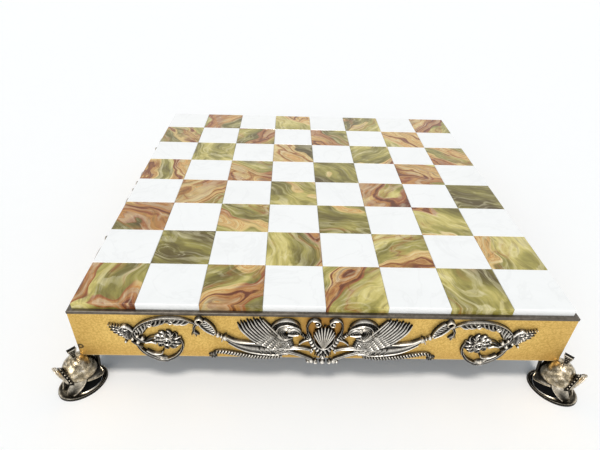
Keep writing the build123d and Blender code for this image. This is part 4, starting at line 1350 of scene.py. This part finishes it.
class BOARD_OT_feet(bpy.types.Operator):
    """Make the helmets, their beads, collars and crest sockets"""

    bl_idname = "board.feet"
    bl_label = "Helmet feet"

    def execute(self, context):
        settings = context.scene.chess_board
        polished = silvered(settings, "polished_silver", 0.16, 0.8, 0.0009, 0.9)
        chased = silvered(settings, "chased_silver", 0.24, 0.5, 0.0002, 0.45)
        bowl, guards, collar, socket = Shape(), Shape(), Shape(), Shape()
        draw_bowl(bowl)
        draw_neck_guard(guards)
        for side in (-1, 1):
            draw_cheek(guards, side)
        draw_brow(guards)
        draw_strap(guards)
        draw_collar(collar)
        draw_socket(socket)
        places, out, _ = brow_line(settings.beads + 2)
        beads = places[1:-1] + BEAD_OUT * out[1:-1] + (foot_reach, 0, 0)
        tree = point_tree("beads", ("Radius",), round_bead)
        parts = (
            (bowl, "bowl", "helmet", polished, 60),
            (guards, "guards", "helmet", chased, 50),
            (collar, "oval_collar", "collar", chased, 50),
            (socket, "socket", "crest_socket", chased, 40),
        )
        for corner, turn in CORNERS.items():
            for shape, name, node, metal, sharp in parts:
                nodes = [f"{node}_{corner}"]
                shape.piece(f"{name}_{corner}", nodes, "silvered", turn, foot_reach, metal, sharp)
            carrier = bpy.data.meshes.new(f"bead_places_{corner}")
            carrier.from_pydata([tuple(p) for p in turned(beads, turn) * MM], [], [])
            mesh = grown(f"beads_{corner}", carrier, tree, {"Radius": settings.bead * MM, "Finish": chased})
            placed(f"beads_{corner}", mesh, [f"helmet_{corner}"])
        return {"FINISHED"}


# The floor's half width in metres, and its white
FLOOR_HALF = 6.0
FLOOR_WHITES = ((0.985, 0.983, 0.978), (0.995, 0.993, 0.988))

# The light of the room, and each lamp's strength, width as an angle, colour and the way that it shines from
ROOM_LIGHT, ROOM_STRENGTH = (0.76, 0.88, 1.0, 1), 0.42
LAMPS = {
    "window": (1.70, radians(13), (1.0, 0.945, 0.88), (0.02, -0.31, 1.0)),
    "softbox": (1.0, radians(45), (1.0, 0.985, 0.96), (-0.36, -0.90, 0.50)),
}


class BOARD_OT_stage(bpy.types.Operator):
    """Set up the floor, lamps and camera"""

    bl_idname = "board.stage"
    bl_label = "Stage"

    def execute(self, context):
        scene = context.scene
        mesh = bpy.data.meshes.new("floor")
        spots = [(-1, -1), (1, -1), (1, 1), (-1, 1)]
        mesh.from_pydata([(x * FLOOR_HALF, y * FLOOR_HALF, 0) for x, y in spots], [], [(0, 1, 2, 3)])
        floor = bpy.data.objects.new("floor", mesh)
        scene.collection.objects.link(floor)
        paper = Finish("floor_white")
        white = paper.mix(paper.grain(40, 2), *FLOOR_WHITES)
        mesh.materials.append(paper.surface(base_color=white, roughness=0.7))
        world = bpy.data.worlds.new("studio")
        scene.world = world
        world.use_nodes = True
        sky = Nodes(world.node_tree)
        path = sky.make("ShaderNodeLightPath")
        seen = path + path.out("Is Glossy Ray") + path.out("Is Transmission Ray")
        soft = sky.make("ShaderNodeBackground", None, {0: ROOM_LIGHT, 1: ROOM_STRENGTH})
        plain = sky.make("ShaderNodeBackground", None, {0: (1, 1, 1, 1), 1: 1.0})
        both = sky.make("ShaderNodeMixShader", None, {0: seen, 1: soft, 2: plain})
        sky.make("ShaderNodeOutputWorld", None, {0: both})
        for name, (energy, angle, colour, place) in LAMPS.items():
            light = bpy.data.lights.new(name, "SUN")
            light.energy, light.angle, light.color = energy, angle, colour
            lamp = bpy.data.objects.new(name, light)
            lamp.location = place
            lamp.rotation_euler = (-Vector(place)).to_track_quat("-Z", "Y").to_euler()
            scene.collection.objects.link(lamp)
        make_camera(scene)
        scene.view_settings.view_transform = "Standard"
        return {"FINISHED"}


# The camera, as worked out from the board's own corners in the photograph, which is 600 pixels wide
FRAME_WIDTH = 600
FOCAL_PIXELS = 461.2
MIDDLE_PIXEL = (294.8, 222.3)
FRAME_MIDDLE = (300, 225)
SENSOR = 36.0
CAMERA_PLACE = (-29.77, -406.60, 306.23)
CAMERA_TURN = (2.168800, 0.008519, 0.034370)


def make_camera(scene):
    """Puts the camera at the photograph's place."""
    data = bpy.data.cameras.new("camera")
    data.sensor_width = SENSOR
    data.lens = FOCAL_PIXELS / FRAME_WIDTH * SENSOR
    data.shift_x = (FRAME_MIDDLE[0] - MIDDLE_PIXEL[0]) / FRAME_WIDTH
    data.shift_y = (MIDDLE_PIXEL[1] - FRAME_MIDDLE[1]) / FRAME_WIDTH
    camera = bpy.data.objects.new("camera", data)
    turn = Vector(CAMERA_TURN)
    seen = Matrix.Rotation(turn.length, 3, turn.normalized()).transposed()
    look = seen @ Matrix(((1, 0, 0), (0, -1, 0), (0, 0, -1)))
    camera.matrix_world = Matrix.Translation(Vector(CAMERA_PLACE) * MM) @ look.to_4x4()
    data.clip_start, data.clip_end = 0.02, 50
    scene.collection.objects.link(camera)
    scene.camera = camera


STEPS = ("squares", "frame", "joinery", "scrolls", "griffins", "feet", "stage")


class BOARD_PT_panel(bpy.types.Panel):
    """Buttons that build the chess board"""

    bl_idname = "BOARD_PT_panel"
    bl_label = "Chess Board"
    bl_space_type = "VIEW_3D"
    bl_region_type = "UI"
    bl_category = "Chess Board"

    def draw(self, context):
        for step in STEPS:
            self.layout.operator(f"board.{step}")
        for name in ChessBoardSettings.__annotations__:
            self.layout.prop(context.scene.chess_board, name)


CLASSES = (
    ChessBoardSettings,
    BOARD_OT_squares,
    BOARD_OT_frame,
    BOARD_OT_joinery,
    BOARD_OT_scrolls,
    BOARD_OT_griffins,
    BOARD_OT_feet,
    BOARD_OT_stage,
    BOARD_PT_panel,
)


def register():
    """Registers the classes and hangs the settings on the scene."""
    for one in CLASSES:
        bpy.utils.register_class(one)
    bpy.types.Scene.chess_board = bpy.props.PointerProperty(type=ChessBoardSettings)


def unregister():
    """Takes the settings and classes away again."""
    del bpy.types.Scene.chess_board
    for one in reversed(CLASSES):
        bpy.utils.unregister_class(one)


def main():
    """Builds every piece in order."""
    register()
    for step in STEPS:
        getattr(bpy.ops.board, step)()


if __name__ == "__main__":
    main()
